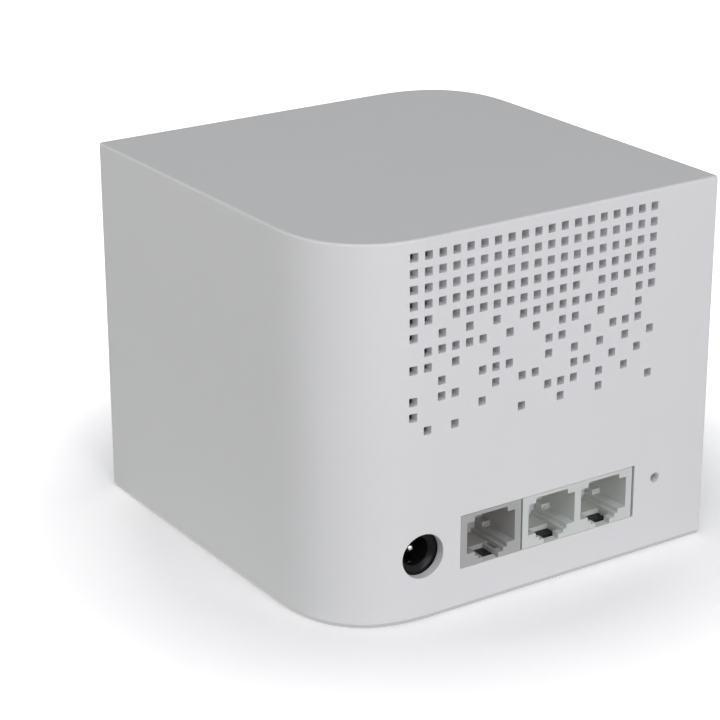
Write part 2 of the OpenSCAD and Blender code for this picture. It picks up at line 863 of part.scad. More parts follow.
// Smoothing capacitors for the power inlet, in a row beside the soft corner
module capacitors() {
    r = 3.15;
    h = 7.7;
    back_y = case_d/2 - corner_reach - 0.25;
    color([0.75, 0.75, 0.78]) for (p = [[22.5, back_y], [29.6, back_y], [36.5, back_y - 2]])
        translate([p[0], p[1], board_z]) {
            rotate_extrude($fn = round_fn) polygon([
                [0, 0.8], [r, 0.8], [r, 1.8], [r - 0.25, 2.1], [r, 2.4], [r, h - 0.3],
                [r - 0.3, h], [0, h]
            ]);
            translate([0, 0, 0.45]) cube([2*r + 0.3, 2*r + 0.3, 0.9], center = true);
        }
}

// Two power inductors beside the heat sink
module inductors() {
    w = 6.6;
    h = 3.5;
    off_sink = 4.7;
    color([0.22, 0.22, 0.24]) for (y = [1, -9])
        translate([sink_w/2 + off_sink + w/2, y, board_z + h/2]) cube([w, w, h], center = true);
}

// ---- status light --------------------------------------------------------------------------

module status_led() {
    color([0.95, 0.95, 0.85]) translate([light_x, led_y, board_z + led_h/2])
        cube([3, 2.6, led_h], center = true);
}

// A clear pipe that takes the light up from the board and out through the front wall
module light_pipe() {
    w = light_d + 0.6;
    low = board_z + led_h;
    color([0.9, 0.95, 1, 0.6]) {
        bar_y(light_x, light_z, light_d/2, -rear_y, led_y - 0.5);
        bar_y(light_x, light_z, light_d/2 + 0.8, -rear_inside, 1 - rear_inside);
        // The elbow's top corner is cut back at 45 degrees, which turns the light
        translate([light_x - w/2, 0, 0]) rotate([90, 0, 90]) linear_extrude(w) polygon([
            [led_y - w/2, low], [led_y + w/2, low], [led_y + w/2, light_z - w/2],
            [led_y - w/2, light_z + w/2]
        ]);
    }
}

// ---- antennas ------------------------------------------------------------------------------

function wall_reach(turn) = (turn % 180 == 0 ? case_w : case_d)/2 - frame_inset - frame_t;

// Puts a shape drawn at the origin, facing -X, on the inner face of the frame
module on_frame(at) {
    rotate([0, 0, at[0]]) translate([wall_reach(at[0]), at[1], antenna_z]) children();
}

// Two rails and a ledge that an antenna slides into
module antenna_rails() {
    rail = 1.2;
    gap = 0.1;
    deep = antenna_t + gap;
    for (s = [-1, 1]) translate([-deep/2 + eps, s*(antenna_w/2 + gap + rail/2), antenna_h/2 - 2])
        cube([deep + 2*eps, rail, antenna_h], center = true);
    translate([-deep/2 + eps, 0, -1])
        cube([deep + 2*eps, antenna_w + 2*(gap + rail), 2], center = true);
}

// The frame's plan: the case's outline, jogged round its posts and webs
module frame_plan(grow) {
    room = board_gap + grow;
    difference() {
        outline(frame_inset + grow);
        at_posts() circle(r = post_r + room, $fn = round_fn);
        at_webs() square([case_w/2, web_t + 2*room], center = true);
    }
}

module frame_wall(z0, z1) {
    translate([0, 0, z0]) linear_extrude(z1 - z0) difference() {
        frame_plan(0);
        frame_plan(frame_t);
    }
}

// A thin basket that stands on the board and reaches up to the ribs under the roof
module antenna_frame() {
    leg_w = 8;
    band = 6;
    window_h = frame_top - frame_z - 2*band;
    window_z = frame_z + band + window_h/2;
    side = case_w/2 - frame_inset;
    rear = case_d/2 - frame_inset;
    color([0.85, 0.85, 0.86]) {
        difference() {
            union() {
                frame_wall(frame_z, frame_top);
                intersection() {
                    frame_wall(board_z, frame_top);
                    for (s = [-1, 1], y = [-20, 12])
                        translate([s*side, s*y, case_h/2])
                            cube([4*frame_t, leg_w, case_h], center = true);
                }
            }
            // Open windows behind the vents and between the antennas
            translate([0, rear, window_z]) cube([2*(side - 14), 20, window_h], center = true);
            translate([4, -rear, window_z]) cube([16, 20, window_h], center = true);
            for (s = [-1, 1], y = [-20, 9])
                translate([s*side, s*y, window_z]) cube([20, 10, window_h], center = true);
        }
        for (at = ANTENNAS) on_frame(at) antenna_rails();
    }
}

module antenna(at) {
    color([0.1, 0.35, 0.2]) on_frame(at)
        translate([-antenna_t, -antenna_w/2, 0]) cube([antenna_t, antenna_w, antenna_h]);
}

module antenna_right() antenna(ANTENNAS[0]);
module antenna_left() antenna(ANTENNAS[1]);
module antenna_front_left() antenna(ANTENNAS[2]);
module antenna_front_right() antenna(ANTENNAS[3]);

// A round lead swept along straight runs, as one closed skin of triangles with a ring at each bend
module lead(path) {
    n = len(path);
    c = coax_sides;
    across = cross([0, 0, 1], path[n - 1] - path[0]);
    dirs = [for (i = [0 : n - 2]) (path[i + 1] - path[i])/norm(path[i + 1] - path[i])];
    rings = [
        for (i = [0 : n - 1])
            let (
                s = dirs[max(i - 1, 0)] + dirs[min(i, n - 2)],
                u = s/norm(s),
                flat = across - (across*u)*u,
                p = flat/norm(flat),
                q = cross(u, p)
            )
            for (k = [0 : c - 1])
                path[i] + coax_d/2*(p*cos(360*k/c) + q*sin(360*k/c))
    ];
    polyhedron(rings, concat(
        [for (k = [1 : c - 2]) [0, k, k + 1]],
        [
            for (i = [0 : n - 2], k = [0 : c - 1], half = [0, 1])
                let (a = i*c + k, b = i*c + (k + 1) % c)
                half == 0 ? [a, a + c, b + c] : [a, b + c, b]
        ],
        [for (k = [1 : c - 2]) [(n - 1)*c, (n - 1)*c + k + 1, (n - 1)*c + k]]
    ));
}

// Number i's lead, from its antenna's foot down the frame's inner face and across to its plug
module coax(i) {
    turn = ANTENNAS[i][0];
    reach = wall_reach(turn) - antenna_t - coax_d/2 - coax_gap;
    foot = [
        reach*cos(turn) - ANTENNAS[i][1]*sin(turn), reach*sin(turn) + ANTENNAS[i][1]*cos(turn)
    ];
    plug_z = board_z + coax_plug_h + coax_d/2 + coax_gap;
    color([0.15, 0.15, 0.15]) lead(concat(
        [[foot[0], foot[1], antenna_z + 8], [foot[0], foot[1], antenna_z - 4]],
        [for (p = COAX_ROUTES[i]) [p[0], p[1], board_z + p[2]]],
        [[COAX_PLUGS[i][0], COAX_PLUGS[i][1], plug_z]]
    ));
}

module coax_right() coax(0);
module coax_left() coax(1);
module coax_front_left() coax(2);
module coax_front_right() coax(3);

module coax_plugs() {
    color("gold") for (p = COAX_PLUGS) translate([p[0], p[1], board_z])
        cylinder(h = coax_plug_h, r = 1.3, $fn = round_fn);
}

// ---- one line per sub-part --------------------------------------------------------------

housing();
base_cover();
rubber_feet();
case_screws();
main_board();
board_screws();
wan_jack();
wan_insert();
wan_contacts();
lan_jack();
lan_inserts();
lan_contacts();
power_jack();
power_pin();
power_spring();
reset_switch();
reset_bracket();
reset_pins();
reset_button();
processor();
thermal_pad();
heat_sink();
heat_sink_screws();
memory_chips();
flash_chip();
radio_chips();
shield_frames();
shield_lids();
line_transformers();
capacitors();
inductors();
crystal();
status_led();
light_pipe();
antenna_frame();
antenna_left();
antenna_right();
antenna_front_left();
antenna_front_right();
coax_left();
coax_right();
coax_front_left();
coax_front_right();
coax_plugs();
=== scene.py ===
# %% [markdown]
# # A white wireless router, seen from its socket side
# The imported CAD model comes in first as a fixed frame. It says where every piece is, in metres,
# with +Z up and the sockets facing +Y. The cells after this one give the frame its looks: the
# camera and lamps, then the finishes, then the pieces that the eye can reach, modelled afresh.

# %% Load the frame
import json
import math
import bmesh
import bpy
import numpy as np
from mathutils import Matrix, Vector


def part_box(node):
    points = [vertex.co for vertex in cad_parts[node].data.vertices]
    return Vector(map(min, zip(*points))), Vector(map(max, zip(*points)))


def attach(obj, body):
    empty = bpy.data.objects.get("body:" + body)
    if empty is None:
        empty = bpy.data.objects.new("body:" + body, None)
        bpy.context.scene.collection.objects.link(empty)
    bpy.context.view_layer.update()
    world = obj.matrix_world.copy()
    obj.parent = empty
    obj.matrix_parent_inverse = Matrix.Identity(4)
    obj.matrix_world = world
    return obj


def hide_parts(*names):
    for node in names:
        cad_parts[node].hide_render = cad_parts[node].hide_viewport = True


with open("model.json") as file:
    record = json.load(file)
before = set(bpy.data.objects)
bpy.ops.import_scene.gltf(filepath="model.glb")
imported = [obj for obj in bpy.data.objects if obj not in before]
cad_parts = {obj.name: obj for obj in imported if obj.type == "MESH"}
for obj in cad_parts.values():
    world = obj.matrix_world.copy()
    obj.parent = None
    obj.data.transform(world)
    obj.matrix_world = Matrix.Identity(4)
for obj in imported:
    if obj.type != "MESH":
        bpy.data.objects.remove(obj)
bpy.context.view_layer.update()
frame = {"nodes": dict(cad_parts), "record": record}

MM = 0.001
case_low, case_high = (Vector(corner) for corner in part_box("housing"))
rear_y = case_high.y
print("case, mm:", [round(v/MM, 2) for v in case_high - case_low])

# %% [markdown]
# ## The camera
# A product picture of a small box is taken from a little above, with a long lens from some way
# off, so that its upright edges stay almost parallel. A camera could be aimed with a constraint
# that tracks an empty. Here its place is worked out instead from the side it looks from, its
# distance, and a small slide across and up its own view, because each of these can be set alone.

# %% Camera
VIEW_AZIMUTH, VIEW_ELEVATION, VIEW_ROLL = math.radians(146.39), math.radians(21.12), math.radians(-0.151)
VIEW_DISTANCE, VIEW_ACROSS, VIEW_UP = 520.15*MM, -8.894*MM, 32.403*MM
LENS = 116.07

back = Vector((
    math.sin(VIEW_AZIMUTH)*math.cos(VIEW_ELEVATION),
    -math.cos(VIEW_AZIMUTH)*math.cos(VIEW_ELEVATION),
    math.sin(VIEW_ELEVATION),
))
level_right = Vector((0, 0, 1)).cross(back).normalized()
level_up = back.cross(level_right)
right = level_right*math.cos(VIEW_ROLL) + level_up*math.sin(VIEW_ROLL)
up = level_up*math.cos(VIEW_ROLL) - level_right*math.sin(VIEW_ROLL)
eye = back*VIEW_DISTANCE + right*VIEW_ACROSS + up*VIEW_UP + Vector((0, 0, case_low.z))

bpy.ops.object.camera_add(location=eye)
camera = bpy.context.object
camera.name = "Camera"
camera.matrix_world = Matrix.Translation(eye) @ Matrix((right, up, back)).transposed().to_4x4()
camera.data.lens = LENS
camera.data.clip_start, camera.data.clip_end = 0.01, 20
bpy.context.scene.camera = camera
print("camera, mm:", [round(v/MM, 1) for v in eye])

# %% [markdown]
# ## A short way to add nodes
# Every material and the world are made of nodes. Adding, setting and joining each by itself takes
# many lines that say little, so one helper does all three: an input is given a value, or an
# output of another node that is then joined to it.

# %% Node helpers
def add(tree, kind, inputs=None, **settings):
    """A new node with its settings, its input values and the links into it"""
    node = tree.nodes.new(kind)
    for name, setting in settings.items():
        setattr(node, name, setting)
    for name, value in (inputs or {}).items():
        if isinstance(value, bpy.types.NodeSocket):
            tree.links.new(value, node.inputs[name])
        else:
            node.inputs[name].default_value = value
    return node


def maths(tree, operation, a, b=0.0):
    return add(tree, "ShaderNodeMath", {0: a, 1: b}, operation=operation).outputs[0]


# %% [markdown]
# ## Light
# A bright room lights a white case softly, and gives each of its walls a slightly different grey.
# A picture of a sky could do that, but square lamps can be set one at a time. Two stand on the
# camera's side and light the roof and the rear. Two low ones light the rear and the side wall,
# and two small ones keep the far walls from going dark. The roof would mirror the front lamp, which
# stands opposite the camera, so that lamp gives no reflections.

# %% Lamps
scene = bpy.context.scene
scene.view_settings.view_transform = "Standard"
LAMP_DISTANCE = 1.2


def soft_lamp(name, azimuth, elevation, size, power, tint=(1, 1, 1)):
    """A square lamp that faces the middle of the case from one side and height"""
    a, e = math.radians(azimuth), math.radians(elevation)
    way = Vector((math.sin(a)*math.cos(e), -math.cos(a)*math.cos(e), math.sin(e)))
    middle = (case_low + case_high)/2
    bpy.ops.object.light_add(type="AREA", location=middle + way*LAMP_DISTANCE)
    lamp = bpy.context.object
    lamp.name = name
    lamp.rotation_euler = way.to_track_quat("Z", "Y").to_euler()
    lamp.data.shape, lamp.data.size, lamp.data.energy, lamp.data.color = "SQUARE", size, power, tint
    print("lamp:", name, power, "W")
    return lamp


soft_lamp("Key", 150, 30, 1.8, 4.9, (1.0, 0.97, 0.997))
soft_lamp("High", 150, 60, 0.8, 3.6, (0.966, 0.987, 1.0))
soft_lamp("Rear", 180, 5, 0.8, 8.0, (1.0, 0.965, 0.975))
soft_lamp("Side", 60, 5, 0.8, 5.8, (1.0, 0.977, 0.907))
soft_lamp("Other side", 270, 0, 0.3, 6.0)
soft_lamp("Front", 340, 0, 0.3, 6.0).visible_glossy = False

# %% [markdown]
# ### The world
# The background is white, but a world that bright would flatten every shade on the case. Light
# Path tells the two uses apart: a ray from the eye, or one that reaches the world by a reflection
# or through clear plastic, meets white, and everything else only a faint bluish fill.

# %% World
WORLD_FILL, FILL_COLOUR, WHITE = 0.034, (0.6, 0.65, 1, 1), (1, 1, 1, 1)
world = bpy.data.worlds.new("Studio")
scene.world = world
world.use_nodes = True
tree = world.node_tree
tree.nodes.clear()
rays = add(tree, "ShaderNodeLightPath").outputs
seen = maths(tree, "MAXIMUM", rays["Is Camera Ray"], rays["Is Glossy Ray"])
seen = maths(tree, "MAXIMUM", seen, rays["Is Transmission Ray"])
fill = add(tree, "ShaderNodeBackground", {"Color": FILL_COLOUR, "Strength": WORLD_FILL})
white = add(tree, "ShaderNodeBackground", {"Color": WHITE})
mix = add(tree, "ShaderNodeMixShader", {0: seen, 1: fill.outputs[0], 2: white.outputs[0]})
add(tree, "ShaderNodeOutputWorld", {"Surface": mix.outputs[0]})
print("world fill:", WORLD_FILL)

# %% [markdown]
# ## The floor
# The case stands on a white table that fades into the background and still takes its shadow. A
# shadow catcher could do that, but needs the picture put together afterwards. So the floor is a
# plain matt plane that only the camera sees brighter: its glow is nothing under the case and full
# a little way off. So the floor round the case stays darker than further out. That is a painted
# shade, added to the lamps' real shadow. A camera below the floor looks through it, so that the
# base can be seen.

# %% Floor
FLOOR_SIZE, FLOOR_WHITE, FLOOR_SEEN, FLOOR_GLOW = 8, 0.8, 1.26, 1.0
# Painted shade: the floor has no glow within GLOW_START of GLOW_MIDDLE, so it stays darker round the case
GLOW_MIDDLE, GLOW_START, GLOW_FULL = (0, 6*MM, 0), 58*MM, 140*MM


def bare_material(name):
    """A material with no nodes yet"""
    paint = bpy.data.materials.new(name)
    paint.use_nodes = True
    paint.node_tree.nodes.clear()
    return paint


def open_from_below(tree, shader):
    """Ends a floor's material so that a camera under the floor looks through it"""
    below = add(tree, "ShaderNodeNewGeometry").outputs["Backfacing"]
    clear = add(tree, "ShaderNodeBsdfTransparent")
    mix = add(tree, "ShaderNodeMixShader", {0: below, 1: shader.outputs[0], 2: clear.outputs[0]})
    add(tree, "ShaderNodeOutputMaterial", {"Surface": mix.outputs[0]})


bpy.ops.mesh.primitive_plane_add(size=FLOOR_SIZE, location=(0, 0, 0))
floor = bpy.context.object
floor.name = "floor"
floor_paint = bare_material("floor_paint")
tree = floor_paint.node_tree
matt = add(tree, "ShaderNodeBsdfDiffuse", {"Color": (FLOOR_WHITE, FLOOR_WHITE, FLOOR_WHITE, 1)})
seen_matt = add(tree, "ShaderNodeBsdfDiffuse", {"Color": (FLOOR_SEEN, FLOOR_SEEN, FLOOR_SEEN, 1)})
place = add(tree, "ShaderNodeTexCoord").outputs["Object"]
far = add(tree, "ShaderNodeVectorMath", {0: place, 1: GLOW_MIDDLE}, operation="DISTANCE")
# Painted shade round the case: no glow near it, full glow from GLOW_FULL outwards
painted_shade_ramp = add(tree, "ShaderNodeMapRange", {
    "Value": far.outputs["Value"], "From Min": GLOW_START, "From Max": GLOW_FULL,
    "To Min": 0, "To Max": FLOOR_GLOW,
})
glow = add(tree, "ShaderNodeEmission", {"Strength": painted_shade_ramp.outputs["Result"]})
seen_floor = add(tree, "ShaderNodeAddShader", {0: seen_matt.outputs[0], 1: glow.outputs[0]})
eye_ray = add(tree, "ShaderNodeLightPath").outputs["Is Camera Ray"]
which = add(tree, "ShaderNodeMixShader", {0: eye_ray, 1: matt.outputs[0], 2: seen_floor.outputs[0]})
open_from_below(tree, which)
floor.data.materials.append(floor_paint)
print("floor, m:", FLOOR_SIZE)

# %% [markdown]
# ## Finishes
# Hardly any surface here is one even colour: moulded plastic has a grain, sheet metal shows how it
# was rolled, a chip has legs of another metal. Pictures could carry that, but nodes keep sharp at
# any distance and need no layout. A few shared groups hold the patterns, and read a position on
# the object in metres, so a pattern keeps its real size on every piece. The groups only work out
# colours, roughness, metal and relief. The shader itself stays in the material.

# %% Helpers for patterns
COLOUR, VALUE = "NodeSocketColor", "NodeSocketFloat"


def spread(tree, value, low, high):
    """Maps a value from 0 to 1 onto a range"""
    return add(tree, "ShaderNodeMapRange", {"Value": value, "To Min": low, "To Max": high}).outputs[0]


def blend(tree, share, a, b):
    """Mixes two colours"""
    mix = add(tree, "ShaderNodeMix", {"Factor": share}, data_type="RGBA")
    for socket, value in ((mix.inputs[6], a), (mix.inputs[7], b)):
        if isinstance(value, bpy.types.NodeSocket):
            tree.links.new(value, socket)
        else:
            socket.default_value = (*value, 1)
    return mix.outputs[2]


def stretched(tree, scale):
    """The position on the object in units of its own along each axis"""
    place = add(tree, "ShaderNodeTexCoord").outputs["Object"]
    return add(tree, "ShaderNodeMapping", {"Vector": place, "Scale": scale}).outputs[0]


def pattern(name, takes, build):
    """A shared group; build gets the tree and the group's inputs, and returns its outputs"""
    tree = bpy.data.node_groups.new(name, "ShaderNodeTree")
    for socket, kind in takes.items():
        tree.interface.new_socket(socket, in_out="INPUT", socket_type=kind)
    inside = add(tree, "NodeGroupInput")
    results = build(tree, inside.outputs)
    for socket in results:
        kind = COLOUR if socket == "Colour" else VALUE
        tree.interface.new_socket(socket, in_out="OUTPUT", socket_type=kind)
    add(tree, "NodeGroupOutput", results)
    return tree


# %% [markdown]
# ### Mould grain and drawn metal
# A mould for such a case is etched by sparks, which leaves fine pits in the plastic. Noise a
# quarter of a millimetre across gives them, and a much slower noise lets the tone drift a little.
# Drawn or rolled metal has lines instead: the same noise, stretched a long way along one axis.

# %% Grained and drawn patterns
def grained(tree, given):
    """Spark-eroded mould texture: fine pits, with a slow drift in tone"""
    size = maths(tree, "DIVIDE", 1.0, given["Grain Size"])
    place = stretched(tree, (1, 1, 1))
    fine = add(tree, "ShaderNodeTexNoise", {"Vector": place, "Scale": size, "Detail": 2})
    broad = add(tree, "ShaderNodeTexNoise", {"Vector": place, "Scale": 30})
    tone = add(tree, "ShaderNodeVectorMath", {
        0: given["Colour"], "Scale": spread(tree, broad.outputs["Fac"], 0.985, 1.015),
    }, operation="SCALE")
    uneven = spread(tree, fine.outputs["Fac"], -0.04, 0.04)
    return {
        "Colour": tone.outputs[0],
        "Roughness": maths(tree, "ADD", given["Roughness"], uneven),
        "Height": fine.outputs["Fac"],
    }


def drawn(tree, given):
    """Fine lines along Y, as an extrusion die or a rolling mill leaves them"""
    lines = add(tree, "ShaderNodeTexNoise", {
        "Vector": stretched(tree, (1, 0.015, 1)), "Scale": 5000, "Detail": 2,
    }).outputs["Fac"]
    stains = add(tree, "ShaderNodeTexNoise", {"Vector": stretched(tree, (1, 1, 1)), "Scale": 120})
    tone = add(tree, "ShaderNodeVectorMath", {
        0: given["Colour"], "Scale": spread(tree, lines, 0.9, 1.06),
    }, operation="SCALE")
    uneven = spread(tree, stains.outputs["Fac"], -0.12, 0.12)
    return {
        "Colour": tone.outputs[0],
        "Roughness": maths(tree, "ADD", given["Roughness"], uneven),
        "Height": lines,
    }


# %% [markdown]
# ### A circuit board under its mask
# Copper tracks show as low ridges under the black mask, and vias as small bright dots. Drawing a
# real layout would be a long job for something seen through vents. A brick pattern with thin
# joints gives runs of parallel tracks, a coarse cell pattern turns some of them, and a finer one
# places the vias.

# %% The board's pattern
def tracked(tree, given):
    """Copper tracks that show as raised lines under the mask, and small bright vias"""
    def tracks(scale, turn):
        place = add(tree, "ShaderNodeMapping", {
            "Vector": stretched(tree, (1, 1, 1)), "Rotation": (0, 0, turn),
        }).outputs[0]
        return add(tree, "ShaderNodeTexBrick", {
            "Vector": place, "Scale": scale, "Mortar Size": 0.06, "Mortar Smooth": 0.1,
            "Color1": (0, 0, 0, 1), "Color2": (0, 0, 0, 1), "Mortar": (1, 1, 1, 1),
            "Brick Width": 2.6, "Row Height": 0.25,
        }).outputs["Color"]
    area = add(tree, "ShaderNodeTexVoronoi", {
        "Vector": stretched(tree, (1, 1, 1)), "Scale": 90, "Randomness": 0.8,
    }, distance="CHEBYCHEV").outputs["Color"]
    half = maths(tree, "GREATER_THAN", area, 0.5)
    lines = blend(tree, half, tracks(350, 0), tracks(350, math.pi/2))
    dots = add(tree, "ShaderNodeTexVoronoi", {
        "Vector": stretched(tree, (1, 1, 1)), "Scale": 330, "Randomness": 0.75,
    }).outputs["Distance"]
    via = maths(tree, "LESS_THAN", dots, 0.1)
    masked = blend(tree, maths(tree, "MULTIPLY", lines, 0.4), given["Colour"], (0.05, 0.055, 0.06))
    return {
        "Colour": blend(tree, via, masked, (0.75, 0.55, 0.25)),
        "Roughness": maths(tree, "SUBTRACT", given["Roughness"], maths(tree, "MULTIPLY", lines, 0.08)),
        "Metallic": via,
        "Height": maths(tree, "ADD", maths(tree, "MULTIPLY", lines, 0.8), via),
    }


# %% [markdown]
# ### Two-tone pieces and antennas
# A chip and its legs, or a capacitor and its black foot, are one solid in the frame. Splitting the
# mesh would need a second slot, so the pattern changes at a height instead. The antennas' folded
# strip repeats up their length in the same way.

# %% Two-tone and etched patterns
def two_tone(tree, given):
    """One look below a level and another above it, with a fine grain over both"""
    height = add(tree, "ShaderNodeSeparateXYZ", {0: stretched(tree, (1, 1, 1))}).outputs["Z"]
    low = maths(tree, "LESS_THAN", height, given["Level"])
    fine = add(tree, "ShaderNodeTexNoise", {"Vector": stretched(tree, (1, 1, 1)), "Scale": 6000})
    uneven = spread(tree, fine.outputs["Fac"], -0.06, 0.06)
    metal = add(tree, "ShaderNodeMix", {0: low, 2: given["Metallic"], 3: given["Low Metallic"]})
    return {
        "Colour": blend(tree, low, given["Colour"], given["Low Colour"]),
        "Roughness": maths(tree, "ADD", given["Roughness"], uneven),
        "Metallic": metal.outputs[0],
        "Height": fine.outputs["Fac"],
    }


def etched(tree, given):
    """An antenna's folded copper strip under the mask: level bars from a height upwards"""
    height = add(tree, "ShaderNodeSeparateXYZ", {0: stretched(tree, (1, 1, 1))}).outputs["Z"]
    steps = maths(tree, "FRACT", maths(tree, "DIVIDE", height, 0.0032))
    bars = maths(tree, "LESS_THAN", steps, 0.55)
    fine = add(tree, "ShaderNodeTexNoise", {"Vector": stretched(tree, (1, 1, 1)), "Scale": 3000})
    uneven = spread(tree, fine.outputs["Fac"], -0.08, 0.08)
    return {
        "Colour": blend(tree, bars, given["Colour"], given["Bar Colour"]),
        "Roughness": maths(tree, "ADD", given["Roughness"], uneven),
        "Height": bars,
    }

# %% [markdown]
# ### From pattern to material
# Each finish is a Principled shader with one pattern group in front of it. The group gives what
# changes over the surface, and the constants, such as how clear the light pipe is, are set on the
# shader itself. One function makes them all, so that a finish is one line to read and to change.

# %% Material helper
BASIC = {"Colour": COLOUR, "Roughness": VALUE}
PATTERNS = {
    "grained": pattern("grained", {**BASIC, "Grain Size": VALUE}, grained),
    "drawn": pattern("drawn", BASIC, drawn),
    "tracked": pattern("tracked", BASIC, tracked),
    "etched": pattern("etched", {**BASIC, "Bar Colour": COLOUR}, etched),
    "two_tone": pattern("two_tone", {
        **BASIC, "Level": VALUE, "Metallic": VALUE, "Low Colour": COLOUR, "Low Metallic": VALUE,
    }, two_tone),
}

GRAIN = 0.25*MM


def finish(
    name, colour, roughness, metallic=0.0, kind="grained", relief=0.006*MM, clear=0.0, shine=0.5, **more
):
    """A material whose colour, roughness and relief all come through one of the shared patterns"""
    paint = bpy.data.materials.new(name + "_finish")
    paint.use_nodes = True
    tree = paint.node_tree
    shader = tree.nodes["Principled BSDF"]
    texture = add(tree, "ShaderNodeGroup", node_tree=PATTERNS[kind])
    given = {"Colour": colour, "Roughness": roughness, "Metallic": metallic, "Grain Size": GRAIN}
    given.update({key.replace("_", " ").title(): value for key, value in more.items()})
    for socket, value in given.items():
        if socket in texture.inputs:
            texture.inputs[socket].default_value = (*value, 1) if "Colour" in socket else value
    shader.inputs["Metallic"].default_value = metallic
    shader.inputs["Transmission Weight"].default_value = clear
    shader.inputs["Specular IOR Level"].default_value = shine
    for output, target in (("Colour", "Base Color"), ("Roughness", "Roughness"), ("Metallic", "Metallic")):
        if output in texture.outputs:
            tree.links.new(texture.outputs[output], shader.inputs[target])
    bump = add(tree, "ShaderNodeBump", {"Distance": relief, "Height": texture.outputs["Height"]})
    tree.links.new(bump.outputs["Normal"], shader.inputs["Normal"])
    return paint


# %% The finish of each material slot, and of single nodes that differ from their slot's
board_low, board_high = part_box("main_board")
board_under, board_top = board_low[2], board_high[2]
STEEL, TIN, GOLD = (0.6, 0.6, 0.62), (0.62, 0.62, 0.6), (0.83, 0.62, 0.25)
PACKAGE = (0.02, 0.02, 0.022)
LEG_TOP, CAN_FOOT, LED_FOOT = board_top + 0.3*MM, board_top + 0.9*MM, board_top + 0.6*MM
LEGS = {"kind": "two_tone", "level": LEG_TOP, "low_colour": TIN, "low_metallic": 1.0}
FINISHES = {
    "case_white": finish("case_white", (0.775, 0.79, 0.797), 0.45, relief=0.015*MM),
    "cover_white": finish("cover_white", (0.74, 0.74, 0.75), 0.55, relief=0.03*MM),
    "foot_rubber": finish("foot_rubber", (0.30, 0.30, 0.31), 0.8, relief=0.04*MM),
    "screw_steel": finish("screw_steel", STEEL, 0.3, 1.0),
    "board_black": finish("board_black", (0.008, 0.009, 0.009), 0.35, kind="tracked", shine=0.2),
    "wan_grey": finish("wan_grey", (0.42, 0.427, 0.42), 0.45),
    "lan_grey": finish("lan_grey", (0.645, 0.68, 0.66), 0.45),
    "contact_gold": finish("contact_gold", GOLD, 0.25, 1.0),
    "power_black": finish("power_black", (0.011, 0.011, 0.012), 0.22, shine=0.12),
    "pin_nickel": finish("pin_nickel", (0.75, 0.74, 0.7), 0.2, 1.0),
    "switch_black": finish("switch_black", (0.03, 0.03, 0.03), 0.4),
    "plunger_white": finish("plunger_white", (0.75, 0.75, 0.72), 0.4),
    "tin_steel": finish("tin_steel", TIN, 0.35, 1.0, kind="drawn", relief=0.002*MM),
    "chip_black": finish("chip_black", PACKAGE, 0.5, **LEGS),
    "processor": finish("package_black", PACKAGE, 0.45, relief=0.01*MM),
    "radio_chips": finish("radio_package", PACKAGE, 0.5, relief=0.01*MM),
    "pad_grey": finish("pad_grey", (0.35, 0.4, 0.5), 0.8, relief=0.05*MM),
    "sink_aluminium": finish("sink_aluminium", (0.7, 0.71, 0.73), 0.35, 1.0, kind="drawn"),
    "can_aluminium": finish(
        "can_aluminium", (0.7, 0.7, 0.72), 0.3, 1.0, kind="two_tone",
        level=CAN_FOOT, low_colour=(0.02, 0.02, 0.02),
    ),
    "ferrite_grey": finish("ferrite_grey", (0.08, 0.08, 0.085), 0.6, relief=0.03*MM),
    "led_yellow": finish(
        "led_yellow", (0.9, 0.72, 0.25), 0.3, kind="two_tone", level=LED_FOOT, low_colour=(0.8, 0.8, 0.78),
    ),
    "pipe_clear": finish("pipe_clear", (0.85, 0.88, 0.9), 0.2, clear=0.25),
    "frame_white": finish("frame_white", (0.75, 0.75, 0.76), 0.5, relief=0.02*MM),
    "antenna_green": finish(
        "antenna_green", (0.02, 0.12, 0.05), 0.4, kind="etched", bar_colour=(0.1, 0.28, 0.1),
    ),
    "coax_grey": finish("coax_grey", (0.05, 0.05, 0.055), 0.5),
}
for entry in frame["record"]["subparts"]:
    mesh = frame["nodes"][entry["node"]].data
    mesh.materials.clear()
    mesh.materials.append(FINISHES.get(entry["node"], FINISHES[entry["material_slot"]]))
print("finishes:", len(FINISHES))

# %% [markdown]
# ## Ways of working
# Each new piece starts as a primitive at its size and place, and is then shaped in edit mode. An
# operator acts on all that is selected, so everything else is deselected first. With no mouse to
# pick faces or edges, a rule on their place or direction picks them.

# %% Helpers: selecting, editing and a box to start from
def alone(piece):
    """Selects one piece and nothing else, and makes it the active one"""
    bpy.ops.object.select_all(action="DESELECT")
    piece.select_set(True)
    bpy.context.view_layer.objects.active = piece


def edit(piece, kind, test):
    """Opens edit mode with the vertices, edges or faces that pass a test selected, and counts them"""
    alone(piece)
    bpy.ops.object.mode_set(mode="EDIT")
    bpy.ops.mesh.select_mode(type=kind)
    bpy.ops.mesh.select_all(action="DESELECT")
    mesh = bmesh.from_edit_mesh(piece.data)
    elements = {"VERT": mesh.verts, "EDGE": mesh.edges, "FACE": mesh.faces}[kind]
    count = 0
    for element in elements:
        if test(element):
            element.select_set(True)
            count += 1
    bmesh.update_edit_mesh(piece.data)
    return count


def done():
    """Leaves edit mode"""
    bpy.ops.object.mode_set(mode="OBJECT")


def box_piece(name, low, high):
    """A cube primitive that fills the box between two corners, with its place in its mesh"""
    low, high = Vector(low), Vector(high)
    bpy.ops.object.select_all(action="DESELECT")
    bpy.ops.mesh.primitive_cube_add(size=1, location=(low + high)/2)
    piece = bpy.context.object
    piece.name = piece.data.name = name
    piece.scale = high - low
    bpy.ops.object.transform_apply(location=True, rotation=True, scale=True)
    return piece

# %% [markdown]
# ## The case
# One moulding makes the roof and the four walls. Two opposite upright edges are soft, with a bend
# that eases in and out, unlike a quarter circle, and the other two are crisp. A curve could be
# extruded for it, but a block with bevelled edges is quicker to change: a full profile on the
# bevel gives the eased bend. The hollow is inset and pushed up before the small radii are made.

